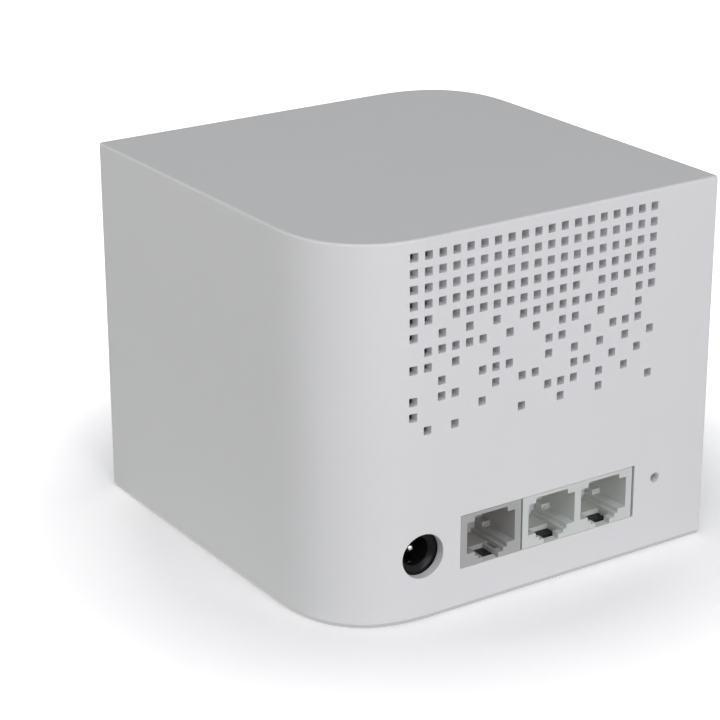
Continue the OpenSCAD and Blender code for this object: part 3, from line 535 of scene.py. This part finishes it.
# %% Case: block, soft corners and hollow
CORNER_REACH, CORNER_PROFILE, CORNER_STEPS = 24*MM, 0.589, 32
WALL, ROOF, ROOF_EDGE, CRISP_EDGE = 2.0*MM, 2.4*MM, 0.6*MM, 0.8*MM
RIM_EDGE, INNER_EDGE = 0.3*MM, 0.5*MM
HAIR = 0.001*MM


def upright(edge):
    """Whether an edge runs straight up"""
    a, b = (v.co for v in edge.verts)
    return abs(a.x - b.x) < HAIR and abs(a.y - b.y) < HAIR


def soft_edge(edge):
    """Whether an edge of a plain block is one of the two that become soft corners"""
    a = edge.verts[0].co
    return upright(edge) and a.x*a.y > 0


def soft_corners(piece, reach):
    """Bends the two soft upright corners of a block that still has its four plain ones"""
    edit(piece, "EDGE", soft_edge)
    bpy.ops.mesh.bevel(
        offset=reach, segments=CORNER_STEPS, profile=CORNER_PROFILE, affect="EDGES",
    )
    done()


case = box_piece("case_shell", case_low, case_high)
soft_corners(case, CORNER_REACH)
rear_line = sorted({
    (round(v.co.x, 7), round(v.co.y, 7)) for v in case.data.vertices
    if v.co.y > 0 and v.co.x + v.co.y > -1e-6
})
edit(case, "FACE", lambda f: f.normal.z < -0.9)
bpy.ops.mesh.inset(thickness=WALL)
bpy.ops.mesh.extrude_region_move(
    TRANSFORM_OT_translate={"value": (0, 0, case_high.z - case_low.z - ROOF)}
)
done()

# %% Case: the crisp upright edges, outside and in
def crisp_edge(inset):
    """A test for the two upright edges that lie a distance in from the case's crisp corners"""
    half = case_high.x - inset

    def test(edge):
        a = edge.verts[0].co
        at_corner = abs(abs(a.x) - half) < 0.01*MM and abs(abs(a.y) - half) < 0.01*MM
        return upright(edge) and a.x*a.y < 0 and at_corner
    return test


for inset, radius in ((0, CRISP_EDGE), (WALL, INNER_EDGE)):
    print("crisp edges:", edit(case, "EDGE", crisp_edge(inset)))
    bpy.ops.mesh.bevel(offset=radius, segments=5, affect="EDGES")
    done()

# %% Case: radii round the roof and the lower rim
def rim_at(z):
    """A test for the case's outer edges at a height, where a wall meets a level face"""
    def test(edge):
        a, b = (v.co for v in edge.verts)
        if abs(a.z - z) > HAIR or abs(b.z - z) > HAIR:
            return False
        sides = [f for f in edge.link_faces if abs(f.normal.z) < 0.5]
        middle = (a + b)/2
        return len(sides) == 1 and sides[0].normal.dot(Vector((middle.x, middle.y, 0))) > 0
    return test


for level, radius, steps in ((case_high.z, ROOF_EDGE, 5), (case_low.z, RIM_EDGE, 3)):
    print("rim edges:", edit(case, "EDGE", rim_at(level)))
    bpy.ops.mesh.bevel(offset=radius, segments=steps, affect="EDGES", clamp_overlap=False)
    done()

# %% [markdown]
# ### The table under the case
# The feet leave a low gap under the rim, and a white table bounces light into it. One bounce from
# the matt floor leaves that gap too dark. More light would change the whole case, so a patch with
# the case's own outline lies on the floor and glows faintly.

# %% The floor under the case
UNDER_INSET, UNDER_LEVEL, BOUNCE = 0.4*MM, 0.02*MM, 0.5
under = box_piece(
    "floor_under", (case_low.x + UNDER_INSET, case_low.y + UNDER_INSET, -1*MM),
    (case_high.x - UNDER_INSET, case_high.y - UNDER_INSET, UNDER_LEVEL),
)
soft_corners(under, CORNER_REACH - UNDER_INSET)
edit(under, "FACE", lambda f: f.normal.z < 0.9)
bpy.ops.mesh.delete(type="FACE")
done()
under_paint = bare_material("floor_under_paint")
bounce = add(under_paint.node_tree, "ShaderNodeEmission", {"Strength": BOUNCE})
open_from_below(under_paint.node_tree, bounce)
under.data.materials.append(under_paint)
print("patch faces:", len(under.data.polygons))

# %% [markdown]
# ### Openings in the case
# The rear wall has a field of square vents that thins out downwards, a long opening for the
# sockets, a round hole for the plug and a pinhole. Each could be cut with a plain box or rod, but
# a moulded edge is never sharp. So a punch is modelled for each kind of opening: near the surface
# it widens into a small rounded lip. Where the wall bends away, the punch is moved in with it.

# %% Cutting, joining and copying
def apply_all(piece):
    """Applies a piece's modifiers in their order"""
    alone(piece)
    for modifier in list(piece.modifiers):
        bpy.ops.object.modifier_apply(modifier=modifier.name)


def boolean(piece, tool, operation="DIFFERENCE", crossing=False):
    """Cuts a tool out of a piece, or adds it on, and throws the tool away"""
    modifier = piece.modifiers.new("boolean", "BOOLEAN")
    modifier.object, modifier.operation, modifier.solver = tool, operation, "EXACT"
    modifier.use_self = crossing
    apply_all(piece)
    bpy.data.objects.remove(tool)


def joined(name, pieces):
    """Makes one object of several, under a new name"""
    bpy.ops.object.select_all(action="DESELECT")
    for piece in pieces:
        piece.select_set(True)
    bpy.context.view_layer.objects.active = pieces[0]
    if len(pieces) > 1:
        bpy.ops.object.join()
    pieces[0].name = pieces[0].data.name = name
    return pieces[0]


def copy_at(piece, offset):
    """A copy with a mesh of its own, moved in its mesh"""
    twin = piece.copy()
    twin.data = piece.data.copy()
    twin.data.transform(Matrix.Translation(offset))
    bpy.context.collection.objects.link(twin)
    return twin

# %% Punches
LIP = 0.12*MM
# A quarter circle in two steps, as shares of its radius
LIP_NEAR, LIP_FAR = 1 - math.sqrt(0.5), math.sqrt(0.5)
# How far a mouth stands outside the wall, so that no corner of it falls just on the surface,
# where the Boolean would leave slivers
MOUTH_OUT = 0.003*MM


def retreat(x):
    """How far the rear wall lies in front of the rear plane at a place along X"""
    return rear_y - float(np.interp(x, *zip(*rear_line)))


def widened(mesh, wider):
    """Moves the chosen face's edge outwards by the same distance all round"""
    chosen = [v for v in mesh.verts if v.select]
    middle = sum((v.co for v in chosen), Vector())/len(chosen)
    for v in chosen:
        for axis in (0, 2):
            step = v.co[axis] - middle[axis]
            reach = max(abs(c.co[axis] - middle[axis]) for c in chosen)
            v.co[axis] += wider*step/reach


def punch_mouth(punch, lip, through):
    """Turns the front face of a punch into a mouth with a rounded lip of a given radius"""
    edit(punch, "FACE", lambda f: f.normal.y > 0.9)
    # From the foot of the lip out past the surface: how far out, and how much wider
    steps = ((LIP_FAR*lip, LIP_NEAR*lip), (LIP_NEAR*lip + MOUTH_OUT, LIP_FAR*lip), (through, 0))
    for out, wider in steps:
        bpy.ops.mesh.extrude_region_move(TRANSFORM_OT_translate={"value": (0, out, 0)})
        if wider:
            widened(bmesh.from_edit_mesh(punch.data), wider)
            bmesh.update_edit_mesh(punch.data)
    done()


def hug(punch):
    """Moves the front half of a punch in by as much as the wall has bent away there"""
    middle_y = rear_y - 1.5*WALL
    for v in punch.data.vertices:
        if v.co.y > middle_y:
            v.co.y -= retreat(v.co.x)


# %% Vents: the pattern, and one punch copied to each place in it
VENTS = [
    "###################",
    "###################",
    "###################",
    "###################",
    "##.##########.#####",
    "#.#.#.#.########.##",
    ".#####.#.#.##.#..#.",
    "##.#..#...##.#.###.",
    "..#..###..#.#.#.#.#",
    "#.##..#.##..##.#.#.",
    "#....#....###.#.#..",
    ".#.#....#..#..#...#",
]
VENT_PITCH, VENT_SIDE, VENT_X, VENT_DROP = 3.3*MM, 1.75*MM, -0.35*MM, 3.6*MM
VENT_ROUND = 0.15*MM
columns = len(VENTS[0])
vent_places = [
    (VENT_X + ((columns - 1)/2 - column)*VENT_PITCH, case_high.z - VENT_DROP - row*VENT_PITCH)
    for row, line in enumerate(VENTS) for column, mark in enumerate(line) if mark == "#"
]
first_x, first_z = vent_places[0]
punch = box_piece(
    "vent",
    (first_x - VENT_SIDE/2, rear_y - 4*WALL, first_z - VENT_SIDE/2),
    (first_x + VENT_SIDE/2, rear_y - LIP, first_z + VENT_SIDE/2),
)
edit(punch, "EDGE", lambda e: abs(e.verts[0].co.y - e.verts[1].co.y) > MM)
bpy.ops.mesh.bevel(offset=VENT_ROUND, segments=2, affect="EDGES")
done()
punch_mouth(punch, LIP, 1*MM)
punches = [punch] + [copy_at(punch, (x - first_x, 0, z - first_z)) for x, z in vent_places[1:]]
for punch in punches:
    hug(punch)
vent_tool = joined("vent_tool", punches)
print("vents:", len(vent_places))

# %% Port cut-out
wan_low, wan_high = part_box("wan_jack")
lan_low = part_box("lan_jack")[0]
CUTOUT_GAP, CUTOUT_END_GAP, CUTOUT_LIP = 0.07*MM, 0.65*MM, 0.04*MM
cutout = box_piece(
    "cutout",
    (lan_low[0] - CUTOUT_END_GAP, rear_y - 4*WALL, wan_low[2] - CUTOUT_GAP),
    (wan_high[0] + CUTOUT_GAP, rear_y - CUTOUT_LIP, wan_high[2] + CUTOUT_GAP),
)
punch_mouth(cutout, CUTOUT_LIP, 1*MM)
boolean(case, cutout)
print("cut-out, mm:", round((wan_high[0] - lan_low[0] + CUTOUT_GAP + CUTOUT_END_GAP)/MM, 2))

# %% Inlet hole and pinhole
INLET_HOLE_R, PINHOLE_R = 4.75*MM, 1.125*MM


def rod_piece(name, start, radius, length, sides=64, along="Y"):
    """A cylinder primitive from start along +Y, or along +Z"""
    start = Vector(start)
    way = Vector((0, 1, 0)) if along == "Y" else Vector((0, 0, 1))
    bpy.ops.object.select_all(action="DESELECT")
    bpy.ops.mesh.primitive_cylinder_add(
        vertices=sides, radius=radius, depth=length, location=start + way*length/2,
        rotation=(-math.pi/2, 0, 0) if along == "Y" else (0, 0, 0),
    )
    piece = bpy.context.object
    piece.name = piece.data.name = name
    bpy.ops.object.transform_apply(location=True, rotation=True, scale=True)
    return piece


pin_low, pin_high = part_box("power_pin")
inlet_x = (pin_low[0] + pin_high[0])/2
inlet_z = next(m for m in frame["record"]["mounts"] if m["name"] == "power_centre_pin")["pos_m"][2]
inlet = rod_piece("inlet", (inlet_x, rear_y - 4*WALL, inlet_z), INLET_HOLE_R, 4*WALL - 2*LIP, 96)
punch_mouth(inlet, 2*LIP, 3*MM)
hug(inlet)
boolean(case, inlet)

plunger_low, plunger_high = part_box("reset_button")
reset_x, reset_z = (plunger_low[0] + plunger_high[0])/2, (plunger_low[2] + plunger_high[2])/2
pinhole = rod_piece("pinhole", (reset_x, rear_y - 4*WALL, reset_z), PINHOLE_R, 4*WALL - LIP, 48)
punch_mouth(pinhole, LIP, 1*MM)
boolean(case, pinhole)
print("inlet at, mm:", round(inlet_x/MM, 2), "pinhole at, mm:", round(reset_x/MM, 2))

# %% [markdown]
# ### Inside of the case
# Posts take the case screws, webs tie them to the side walls, and ribs stiffen the roof. Extruding
# them from the inner faces would mean cutting those faces up first, so plain boxes and rods are
# added onto the shell instead. The wall is cut flat behind the power inlet, and a small hole goes
# through the front wall for the status light. A low pad thickens the wall where the vents are,
# and they are cut last, so that no rib stands behind one.

# %% Case: posts, webs, ribs and pad
feet_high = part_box("rubber_feet")[1]
foot_r = 5.5*MM
post_x, post_y = feet_high[0] - foot_r, feet_high[1] - foot_r
POSTS = [(sx*post_x, sy*post_y) for sx in (-1, 1) for sy in (-1, 1)]
POST_R, POST_END, SCREW_R, POST_HOLE_D = 3.3*MM, case_low.z + 5*MM, 1.33*MM, 11*MM
RIB, RIB_DEPTH, RIB_AT, PAD, PAD_END = 1.2*MM, 3*MM, 16*MM, 0.4*MM, 22*MM
roof_z, inside = case_high.z - ROOF, rear_y - WALL
bury = 0.5*MM
ends, rib_z = inside + bury, roof_z - RIB_DEPTH

stiffeners = []
for x, y in POSTS:
    web = sorted((x, math.copysign(ends, x)))
    stiffeners.append(box_piece(
        "web", (web[0], y - RIB/2, POST_END), (web[1], y + RIB/2, roof_z + bury),
    ))
    stiffeners.append(rod_piece("post", (x, y, POST_END), POST_R, roof_z + bury - POST_END, 48, "Z"))
for at in (-RIB_AT, RIB_AT):
    low, high = at - RIB/2, at + RIB/2
    stiffeners.append(box_piece("rib", (low, -ends, rib_z), (high, ends, roof_z + bury)))
    stiffeners.append(box_piece("rib", (-ends, low, rib_z), (ends, high, roof_z + bury)))
vents_end = ((columns - 1)*VENT_PITCH + VENT_SIDE)/2 + VENT_PITCH/2
stiffeners.append(box_piece(
    "pad", (VENT_X - vents_end, inside - PAD, case_high.z - VENT_DROP - len(VENTS)*VENT_PITCH),
    (PAD_END, ends, roof_z + bury),
))
print("stiffeners:", len(stiffeners))
boolean(case, joined("stiffeners", stiffeners), "UNION", crossing=True)

# %% Case: the cuts inside, and the vents
jack_low, jack_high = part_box("power_jack")
light_low, light_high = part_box("light_pipe")
ROOM, LIGHT_HOLE_R = 0.3*MM, 1.3*MM
cuts = [box_piece(
    "flat",
    (jack_low[0] - ROOM, inside - 2*WALL, POST_END + 1*MM),
    (jack_high[0] + ROOM, inside, jack_high[2] + ROOM),
)]
light_z = (light_low[2] + light_high[2])/2
cuts.append(rod_piece("light hole", (0, -rear_y - 1*MM, light_z), LIGHT_HOLE_R, 2*WALL, 48))
cuts += [rod_piece("screw hole", (x, y, POST_END - 1*MM), SCREW_R, POST_HOLE_D, 32, "Z") for x, y in POSTS]
print("inner cuts:", len(cuts))
boolean(case, joined("inside cuts", cuts))
boolean(case, vent_tool)

# %% [markdown]
# ### Shading, and taking the frame's place
# A bevelled block with flat shading shows each step of its bends. Smooth shading alone would bow
# the large flat walls. So the shading is smooth by angle, with normals weighted by face size, and
# the flat walls stay flat. The finished piece then takes over the node that it stands for.

# %% Case: finish
def tidy_shading(piece, angle=35):
    """Smooth over gentle bends and sharp over folds, with the big flat faces kept flat"""
    alone(piece)
    bpy.ops.object.shade_smooth_by_angle(angle=math.radians(angle))
    modifier = piece.modifiers.new("flat faces", "WEIGHTED_NORMAL")
    modifier.keep_sharp = True
    apply_all(piece)


def placed(piece, node, *more_nodes):
    """Gives a piece the finish, the body and the place in the frame of the node it stands for"""
    record = frame["record"]
    slot = next(e["material_slot"] for e in record["subparts"] if e["node"] == node)
    body = next(b for b, held in record["behaviour"]["bodies"].items() if node in held)
    piece.data.materials.clear()
    piece.data.materials.append(FINISHES.get(node, FINISHES[slot]))
    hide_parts(node, *more_nodes)
    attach(piece, body)
    print(piece.name, "for", node, len(piece.data.polygons), "faces")


tidy_shading(case)
placed(case, "housing")

# %% [markdown]
# ## Network sockets
# Each socket is a block of plastic with a stepped cavity for every port, as seen from its mouth:
# the plug's opening, a recess for the comb over it, and two steps of the latch channel under it.
# A slot runs in along the floor to a pocket, where the plug's latch drops behind the front wall.
# The cavity could be pushed in face by face, but its steps end at several depths. Overlapping
# boxes are easier to read: one Boolean cuts them all, and a bevel breaks every edge.

# %% Sockets: sizes
PLUG_W, PLUG_H, PLUG_FLOOR, PLUG_D = 12.1*MM, 6.95*MM, 2.8*MM, 11*MM
COMB_W, COMB_H = 8.3*MM, 1.1*MM
LATCH_WIDE, LATCH_STEP, LATCH_W, LATCH_FLOOR = 8.05*MM, 1.85*MM, 6.3*MM, 1.1*MM
SLOT_W, WALL_D, POCKET_D, LATCH_RIB = 3.75*MM, 1.9*MM, 5.4*MM, 0.4*MM
STOP_D, STOP_H, JACK_WALL, INSERT_W = 8.5*MM, 1.2*MM, 1.2*MM, 12.4*MM
SOCKET_EDGE, OVERLAP = 0.05*MM, 0.2*MM
out = 1*MM
jack_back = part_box("wan_jack")[0][1]
centre = {m["name"]: m["pos_m"][0] for m in frame["record"]["mounts"]}
print("ports at, mm:", [round(centre[n]/MM, 2) for n in ("wan_socket", "lan_socket_1", "lan_socket_2")])

# %% Sockets: cavity and body
def middle_box(name, x, width, y0, y1, z0, z1):
    """A box centred on x, between two depths and two heights"""
    return box_piece(name, (x - width/2, y0, z0), (x + width/2, y1, z1))


def cavity(x, floor, top):
    """The boxes that cut one port into a socket that stands on floor"""
    roof = floor + PLUG_FLOOR + PLUG_H
    behind = rear_y - PLUG_D
    return [
        middle_box("plug", x, PLUG_W, behind, rear_y + out, floor + PLUG_FLOOR, roof),
        middle_box("comb", x, COMB_W, behind, rear_y + out, roof - out, roof + COMB_H),
        middle_box("step", x, LATCH_WIDE, behind, rear_y + out, floor + LATCH_STEP, roof - out),
        middle_box("latch", x, LATCH_W, behind, rear_y + out, floor + LATCH_FLOOR, roof - out),
        middle_box("slot", x, SLOT_W, rear_y - POCKET_D, rear_y + out, floor - out, roof - out),
        middle_box(
            "pocket", x, LATCH_W, rear_y - POCKET_D, rear_y - WALL_D, floor - out, roof - out,
        ),
        middle_box("rear", x, INSERT_W, jack_back - out, behind + 0.01*MM, floor - out, top - JACK_WALL),
    ]


def stops(x, floor):
    """The two blocks at the back that a plug stops against"""
    width = (PLUG_W - LATCH_WIDE)/2
    return [
        middle_box(
            "stop", x + side*(PLUG_W - width)/2, width, rear_y - PLUG_D, rear_y - STOP_D,
            floor + PLUG_FLOOR - OVERLAP, floor + PLUG_FLOOR + STOP_H,
        ) for side in (-1, 1)
    ]


def latch_ribs(x, floor):
    """The two ribs beside the latch slot of the single socket"""
    return [
        middle_box(
            "rib", x + side*(SLOT_W + LATCH_RIB)/2, LATCH_RIB,
            rear_y - POCKET_D - OVERLAP, rear_y - WALL_D + OVERLAP, floor, floor + LATCH_FLOOR,
        ) for side in (-1, 1)
    ]


# %% Sockets: single and double
def soften(piece, width, segments=2, angle=35):
    """Rounds every fold of a piece a little, as a mould or a die leaves it"""
    if width:
        modifier = piece.modifiers.new("soft edges", "BEVEL")
        modifier.width, modifier.segments = width, segments
        modifier.limit_method, modifier.angle_limit = "ANGLE", math.radians(angle)
        modifier.use_clamp_overlap = False
        apply_all(piece)
    tidy_shading(piece, angle)


def socket(name, node, ports, ribs=False):
    """A socket with a port at each of some places along X"""
    low, high = (Vector(c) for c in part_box(node))
    body = box_piece(name, low, high)
    cutters = [tool for x in ports for tool in cavity(x, low.z, high.z)]
    boolean(body, joined("cavities", cutters), crossing=True)
    kept = [stop for x in ports for stop in stops(x, low.z)]
    if ribs:
        kept += latch_ribs(ports[0], low.z)
    boolean(body, joined("kept", kept), "UNION", crossing=True)
    soften(body, SOCKET_EDGE)
    placed(body, node)
    return body


socket("wan_socket_body", "wan_jack", [centre["wan_socket"]], ribs=True)
socket("lan_socket_body", "lan_jack", [centre["lan_socket_1"], centre["lan_socket_2"]])

# %% [markdown]
# ## Power inlet
# A black barrel stands on a block, behind a square collar, and a shallow dish round the bore leads
# the plug in. Each ring of the bore and dish could be its own cylinder, but their steps would then
# have to meet. One turned tool, extruded and widened disc by disc, cuts them in one go. The pin
# is turned in the same way, with a round tip.

# %% A turned piece
def turned(name, start, profile, sides=64, along="Y"):
    """A turned piece: discs of the given radii at the given distances from start, in one skin"""
    start = Vector(start)
    way = Vector((0, 1, 0)) if along == "Y" else Vector((0, 0, 1))
    (near, first), (at, radius), *rest = profile
    bpy.ops.object.select_all(action="DESELECT")
    bpy.ops.mesh.primitive_cone_add(
        vertices=sides, radius1=first, radius2=radius, depth=at - near,
        location=start + way*(near + at)/2,
        rotation=(-math.pi/2, 0, 0) if along == "Y" else (0, 0, 0),
    )
    piece = bpy.context.object
    piece.name = piece.data.name = name
    bpy.ops.object.transform_apply(location=True, rotation=True, scale=True)
    edit(piece, "FACE", lambda f: f.normal.dot(way) > 0.99)
    for distance, wider in rest:
        bpy.ops.mesh.extrude_region_move(TRANSFORM_OT_translate={"value": way*(distance - at)})
        if wider != radius:
            bpy.ops.transform.resize(
                value=[wider/radius]*3, center_override=start + way*distance,
            )
        at, radius = distance, wider
    bpy.ops.mesh.select_all(action="SELECT")
    bpy.ops.mesh.normals_make_consistent(inside=False)
    done()
    return piece

# %% Power inlet: body
inlet_front, inlet_back = jack_high[1], jack_low[1]
barrel_r = (jack_high[0] - jack_low[0])/2
BORE_R, BORE_L, DISH_D, DISH_W = 3*MM, 9.5*MM, 0.7*MM, 1.2*MM
COLLAR_L, COLLAR_EDGE = 3.4*MM, 0.2*MM
short = inlet_front - 1*MM
inlet_body = box_piece("inlet_body", jack_low, (jack_high[0], short, inlet_z))
barrel = rod_piece("barrel", (inlet_x, inlet_back, inlet_z), barrel_r, short - inlet_back, 96)
collar = box_piece("collar", (jack_low[0], inlet_front - COLLAR_L, jack_low[2]), jack_high)
edit(collar, "EDGE", lambda e: min(v.co.y for v in e.verts) > inlet_front - 0.1*MM)
bpy.ops.mesh.bevel(offset=COLLAR_EDGE, segments=3, affect="EDGES")
done()
boolean(inlet_body, joined("front", [barrel, collar]), "UNION", crossing=True)
print("barrel radius, mm:", round(barrel_r/MM, 2))

# %% Power inlet: bore, dish, shank hole and spring slot
SHANK_R, SHANK_HOLE_L = 0.82*MM, 8*MM
lip = BORE_L - DISH_D
boolean(inlet_body, turned("bore", (inlet_x, inlet_front - BORE_L, inlet_z), [
    (0, BORE_R), (lip - 0.2*MM, BORE_R), (lip - 0.05*MM, BORE_R + 0.04*MM),
    (lip + 0.05*MM, BORE_R + 0.15*MM), (BORE_L - 0.12*MM, BORE_R + DISH_W - 0.15*MM),
    (BORE_L, BORE_R + DISH_W + 0.1*MM), (BORE_L + out, BORE_R + DISH_W + 0.1*MM),
], 96))
boolean(inlet_body, rod_piece("shank", (inlet_x, inlet_back - out, inlet_z), SHANK_R, SHANK_HOLE_L, 32))
spring_low, spring_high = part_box("power_spring")
boolean(inlet_body, box_piece(
    "spring slot",
    (spring_low[0] - 0.1*MM, spring_low[1] - 0.4*MM, jack_low[2] - out),
    (spring_high[0] + 0.1*MM, inlet_front - 2.4*MM, inlet_z - BORE_R + 0.6*MM),
))
tidy_shading(inlet_body)
placed(inlet_body, "power_jack")

# %% Power inlet: pin
PIN_R, SHANK_GAP, TAB_T = 1*MM, 0.02*MM, 0.5*MM
tip, root = pin_high[1], inlet_front - BORE_L
arc = [(tip - PIN_R + PIN_R*math.sin(a), PIN_R*math.cos(a)) for a in np.radians([20, 40, 60, 78])]
pin = turned("inlet_pin", (inlet_x, 0, inlet_z), [(root, PIN_R), (tip - PIN_R, PIN_R), *arc], 48)
shank_start = pin_low[1] + TAB_T/2
shank = rod_piece(
    "shank", (inlet_x, shank_start, inlet_z), SHANK_R - SHANK_GAP, root + OVERLAP - shank_start, 32,
)
tab = box_piece("tab", pin_low, (pin_high[0], pin_low[1] + TAB_T, pin_high[2]))
boolean(pin, joined("rear", [shank, tab]), "UNION", crossing=True)
soften(pin, 0.06*MM, angle=40)
placed(pin, "power_pin")

# %% [markdown]
# ## Base cover and feet
# The cover closes the case from below. It has a skirt round its edge, slots that let air in, and
# in each corner a recess for a foot, under a well that takes a case screw. It could be cut out of
# a thick block, but a moulded tray has an even wall, so a block with the case's own soft corners
# is turned into a tray by an inset and an extrusion. Wells, standoffs and props are added to it.

# %% Base cover: tray
cover_low, cover_high = (Vector(c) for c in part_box("base_cover"))
cover_edge = case_high.x - cover_high.x
TRAY_TOP, SKIRT_T, SKIRT_H = cover_low.z + 2.2*MM, 1.2*MM, 2*MM
cover = box_piece("base_tray", cover_low, (cover_high.x, cover_high.y, TRAY_TOP + SKIRT_H))
soft_corners(cover, CORNER_REACH - 1.15*cover_edge)
edit(cover, "FACE", lambda f: f.normal.z > 0.9)
bpy.ops.mesh.inset(thickness=SKIRT_T)
bpy.ops.mesh.extrude_region_move(TRANSFORM_OT_translate={"value": (0, 0, -SKIRT_H)})
done()
print("tray faces:", len(cover.data.polygons))

# %% Base cover: wells, standoffs and props
WELL_R, STANDOFF_R, STANDOFF_FOOT, PROP_T = 3.95*MM, 2.9*MM, 0.6*MM, 1.5*MM
sunk = TRAY_TOP - OVERLAP
well_low = cover_low.z + OVERLAP
added = [rod_piece("well", (x, y, well_low), WELL_R, POST_END - well_low, 64, "Z") for x, y in POSTS]
BOARD_FIX = [(34*MM, 12*MM), (-34*MM, 12*MM), (33*MM, -37*MM), (-33*MM, -37*MM)]
sink_low, sink_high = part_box("heat_sink")
SINK_FIX = [(sink_high[0] - 4*MM, -1*MM), (sink_low[0] + 4*MM, -1*MM)]
added += [
    turned("standoff", (x, y, sunk), [
        (0, STANDOFF_R + STANDOFF_FOOT), (0.8*MM, STANDOFF_R), (board_under - sunk, STANDOFF_R),
    ], 48, "Z") for x, y in BOARD_FIX + SINK_FIX
]
props = ((lan_low[0], wan_high[0], rear_y - 9*MM), (inlet_x - 4*MM, inlet_x + 4*MM, inlet_front - 7*MM))
added += [box_piece("prop", (x0, y0, sunk), (x1, y0 + PROP_T, board_under)) for x0, x1, y0 in props]
print("added:", len(added))
boolean(cover, joined("added", added), "UNION", crossing=True)

# %% Base cover: air slots, foot seats and screw holes
SLOT_R, SLOT_REACH, SLOT_PITCH_X, SLOT_PITCH_Y = 1*MM, 6*MM, 5*MM, 16*MM
HEAD_R, HEAD_SEAT, SCREW_PASS_R, SCREW_D = 2.55*MM, POST_END - 1.7*MM, 1.45*MM, 6*MM
SEAT_GAP, SEAT_D, COVER_EDGE = 0.15*MM, 1*MM, 0.15*MM
slot = box_piece("slot", (-SLOT_R, -SLOT_REACH, cover_low.z - out), (SLOT_R, SLOT_REACH, TRAY_TOP + out))
edit(slot, "EDGE", lambda e: abs(e.verts[0].co.z - e.verts[1].co.z) > MM)
bpy.ops.mesh.bevel(offset=0.98*SLOT_R, segments=8, affect="EDGES")
done()
gone = [
    copy_at(slot, (SLOT_PITCH_X*i, SLOT_PITCH_Y*j, 0))
    for i in range(-3, 4) for j in range(-1, 2) if i or j
]
gone.append(slot)
for x, y in POSTS:
    gone.append(turned("foot seat", (x, y, cover_low.z - out), [
        (0, foot_r + SEAT_GAP), (out + SEAT_D, foot_r + SEAT_GAP),
    ], 96, "Z"))
    gone.append(rod_piece("well hole", (x, y, cover_low.z), HEAD_R, HEAD_SEAT - cover_low.z, 64, "Z"))
    gone.append(rod_piece("screw hole", (x, y, cover_low.z), SCREW_PASS_R, SCREW_D, 32, "Z"))
gone += [
    rod_piece("screw hole", (x, y, TRAY_TOP + 0.4*MM), SCREW_R, SCREW_D, 32, "Z")
    for x, y in BOARD_FIX + SINK_FIX
]
print("cut away:", len(gone))
boolean(cover, joined("gone", gone), crossing=True)
soften(cover, COVER_EDGE, segments=2, angle=40)
placed(cover, "base_cover")

# %% [markdown]
# ### Feet
# Four soft pads carry the router. Each is a short disc whose lower edge is well rounded. A bevel
# on a cylinder gives one radius. A turned outline lets the edge swell out faster near the floor,
# as rubber does.

# %% Feet
foot_top = feet_high[2]
feet = [turned("foot", (x, y, 0), [
    (0, foot_r - 1.1*MM), (0.06*MM, foot_r - 0.7*MM), (0.2*MM, foot_r - 0.25*MM),
    (0.4*MM, foot_r - 0.06*MM), (0.7*MM, foot_r), (foot_top, foot_r),
], 96, "Z") for x, y in POSTS]
feet = joined("rubber_pads", feet)
tidy_shading(feet, 50)
placed(feet, "rubber_feet")

# %% [markdown]
# ## Pieces that keep their CAD shape
# The board's parts and the antennas are plain shapes already, and little of them is seen. They
# could be modelled again, but a copy of each is enough: it is merged, freed of its triangles and
# given a small bevel as wide as that kind of piece has, so that its edges catch the light. Screws
# and mouldings get more of it than stamped metal, ferrite and crystal cans get the most, and the
# leads and capacitors, which are round already, get none.

# %% Softened copies
SOFT_EDGES = {
    0.15*MM: ("case_screws", "board_screws", "heat_sink_screws", "thermal_pad", "heat_sink",
              "antenna_frame", "coax_plugs"),
    0.1*MM: ("wan_insert", "lan_inserts", "reset_switch", "reset_button", "processor",
             "radio_chips", "shield_lids", "line_transformers", "light_pipe"),
    0.06*MM: ("wan_contacts", "lan_contacts", "power_spring", "reset_bracket", "reset_pins",
              "memory_chips", "flash_chip", "shield_frames", "status_led", "main_board",
              "antenna_left", "antenna_right", "antenna_front_left", "antenna_front_right"),
    0.4*MM: ("inductors",),
    0.25*MM: ("crystal",),
    0.0: ("capacitors", "coax_left", "coax_right", "coax_front_left", "coax_front_right"),
}


def softened_copy(node, width):
    """A merged copy of a CAD node with softened edges, which takes the node's place"""
    source = frame["nodes"][node]
    piece = source.copy()
    piece.data = source.data.copy()
    piece.name = piece.data.name = node + "_soft"
    bpy.context.collection.objects.link(piece)
    piece.data.transform(source.matrix_world)
    piece.parent = None
    piece.matrix_world = Matrix()
    edit(piece, "VERT", lambda v: True)
    bpy.ops.mesh.remove_doubles(threshold=0.001*MM)
    bpy.ops.mesh.dissolve_limited(angle_limit=math.radians(0.5), delimit=set())
    done()
    soften(piece, width)
    placed(piece, node)


for width, nodes in SOFT_EDGES.items():
    for node in nodes:
        softened_copy(node, width)
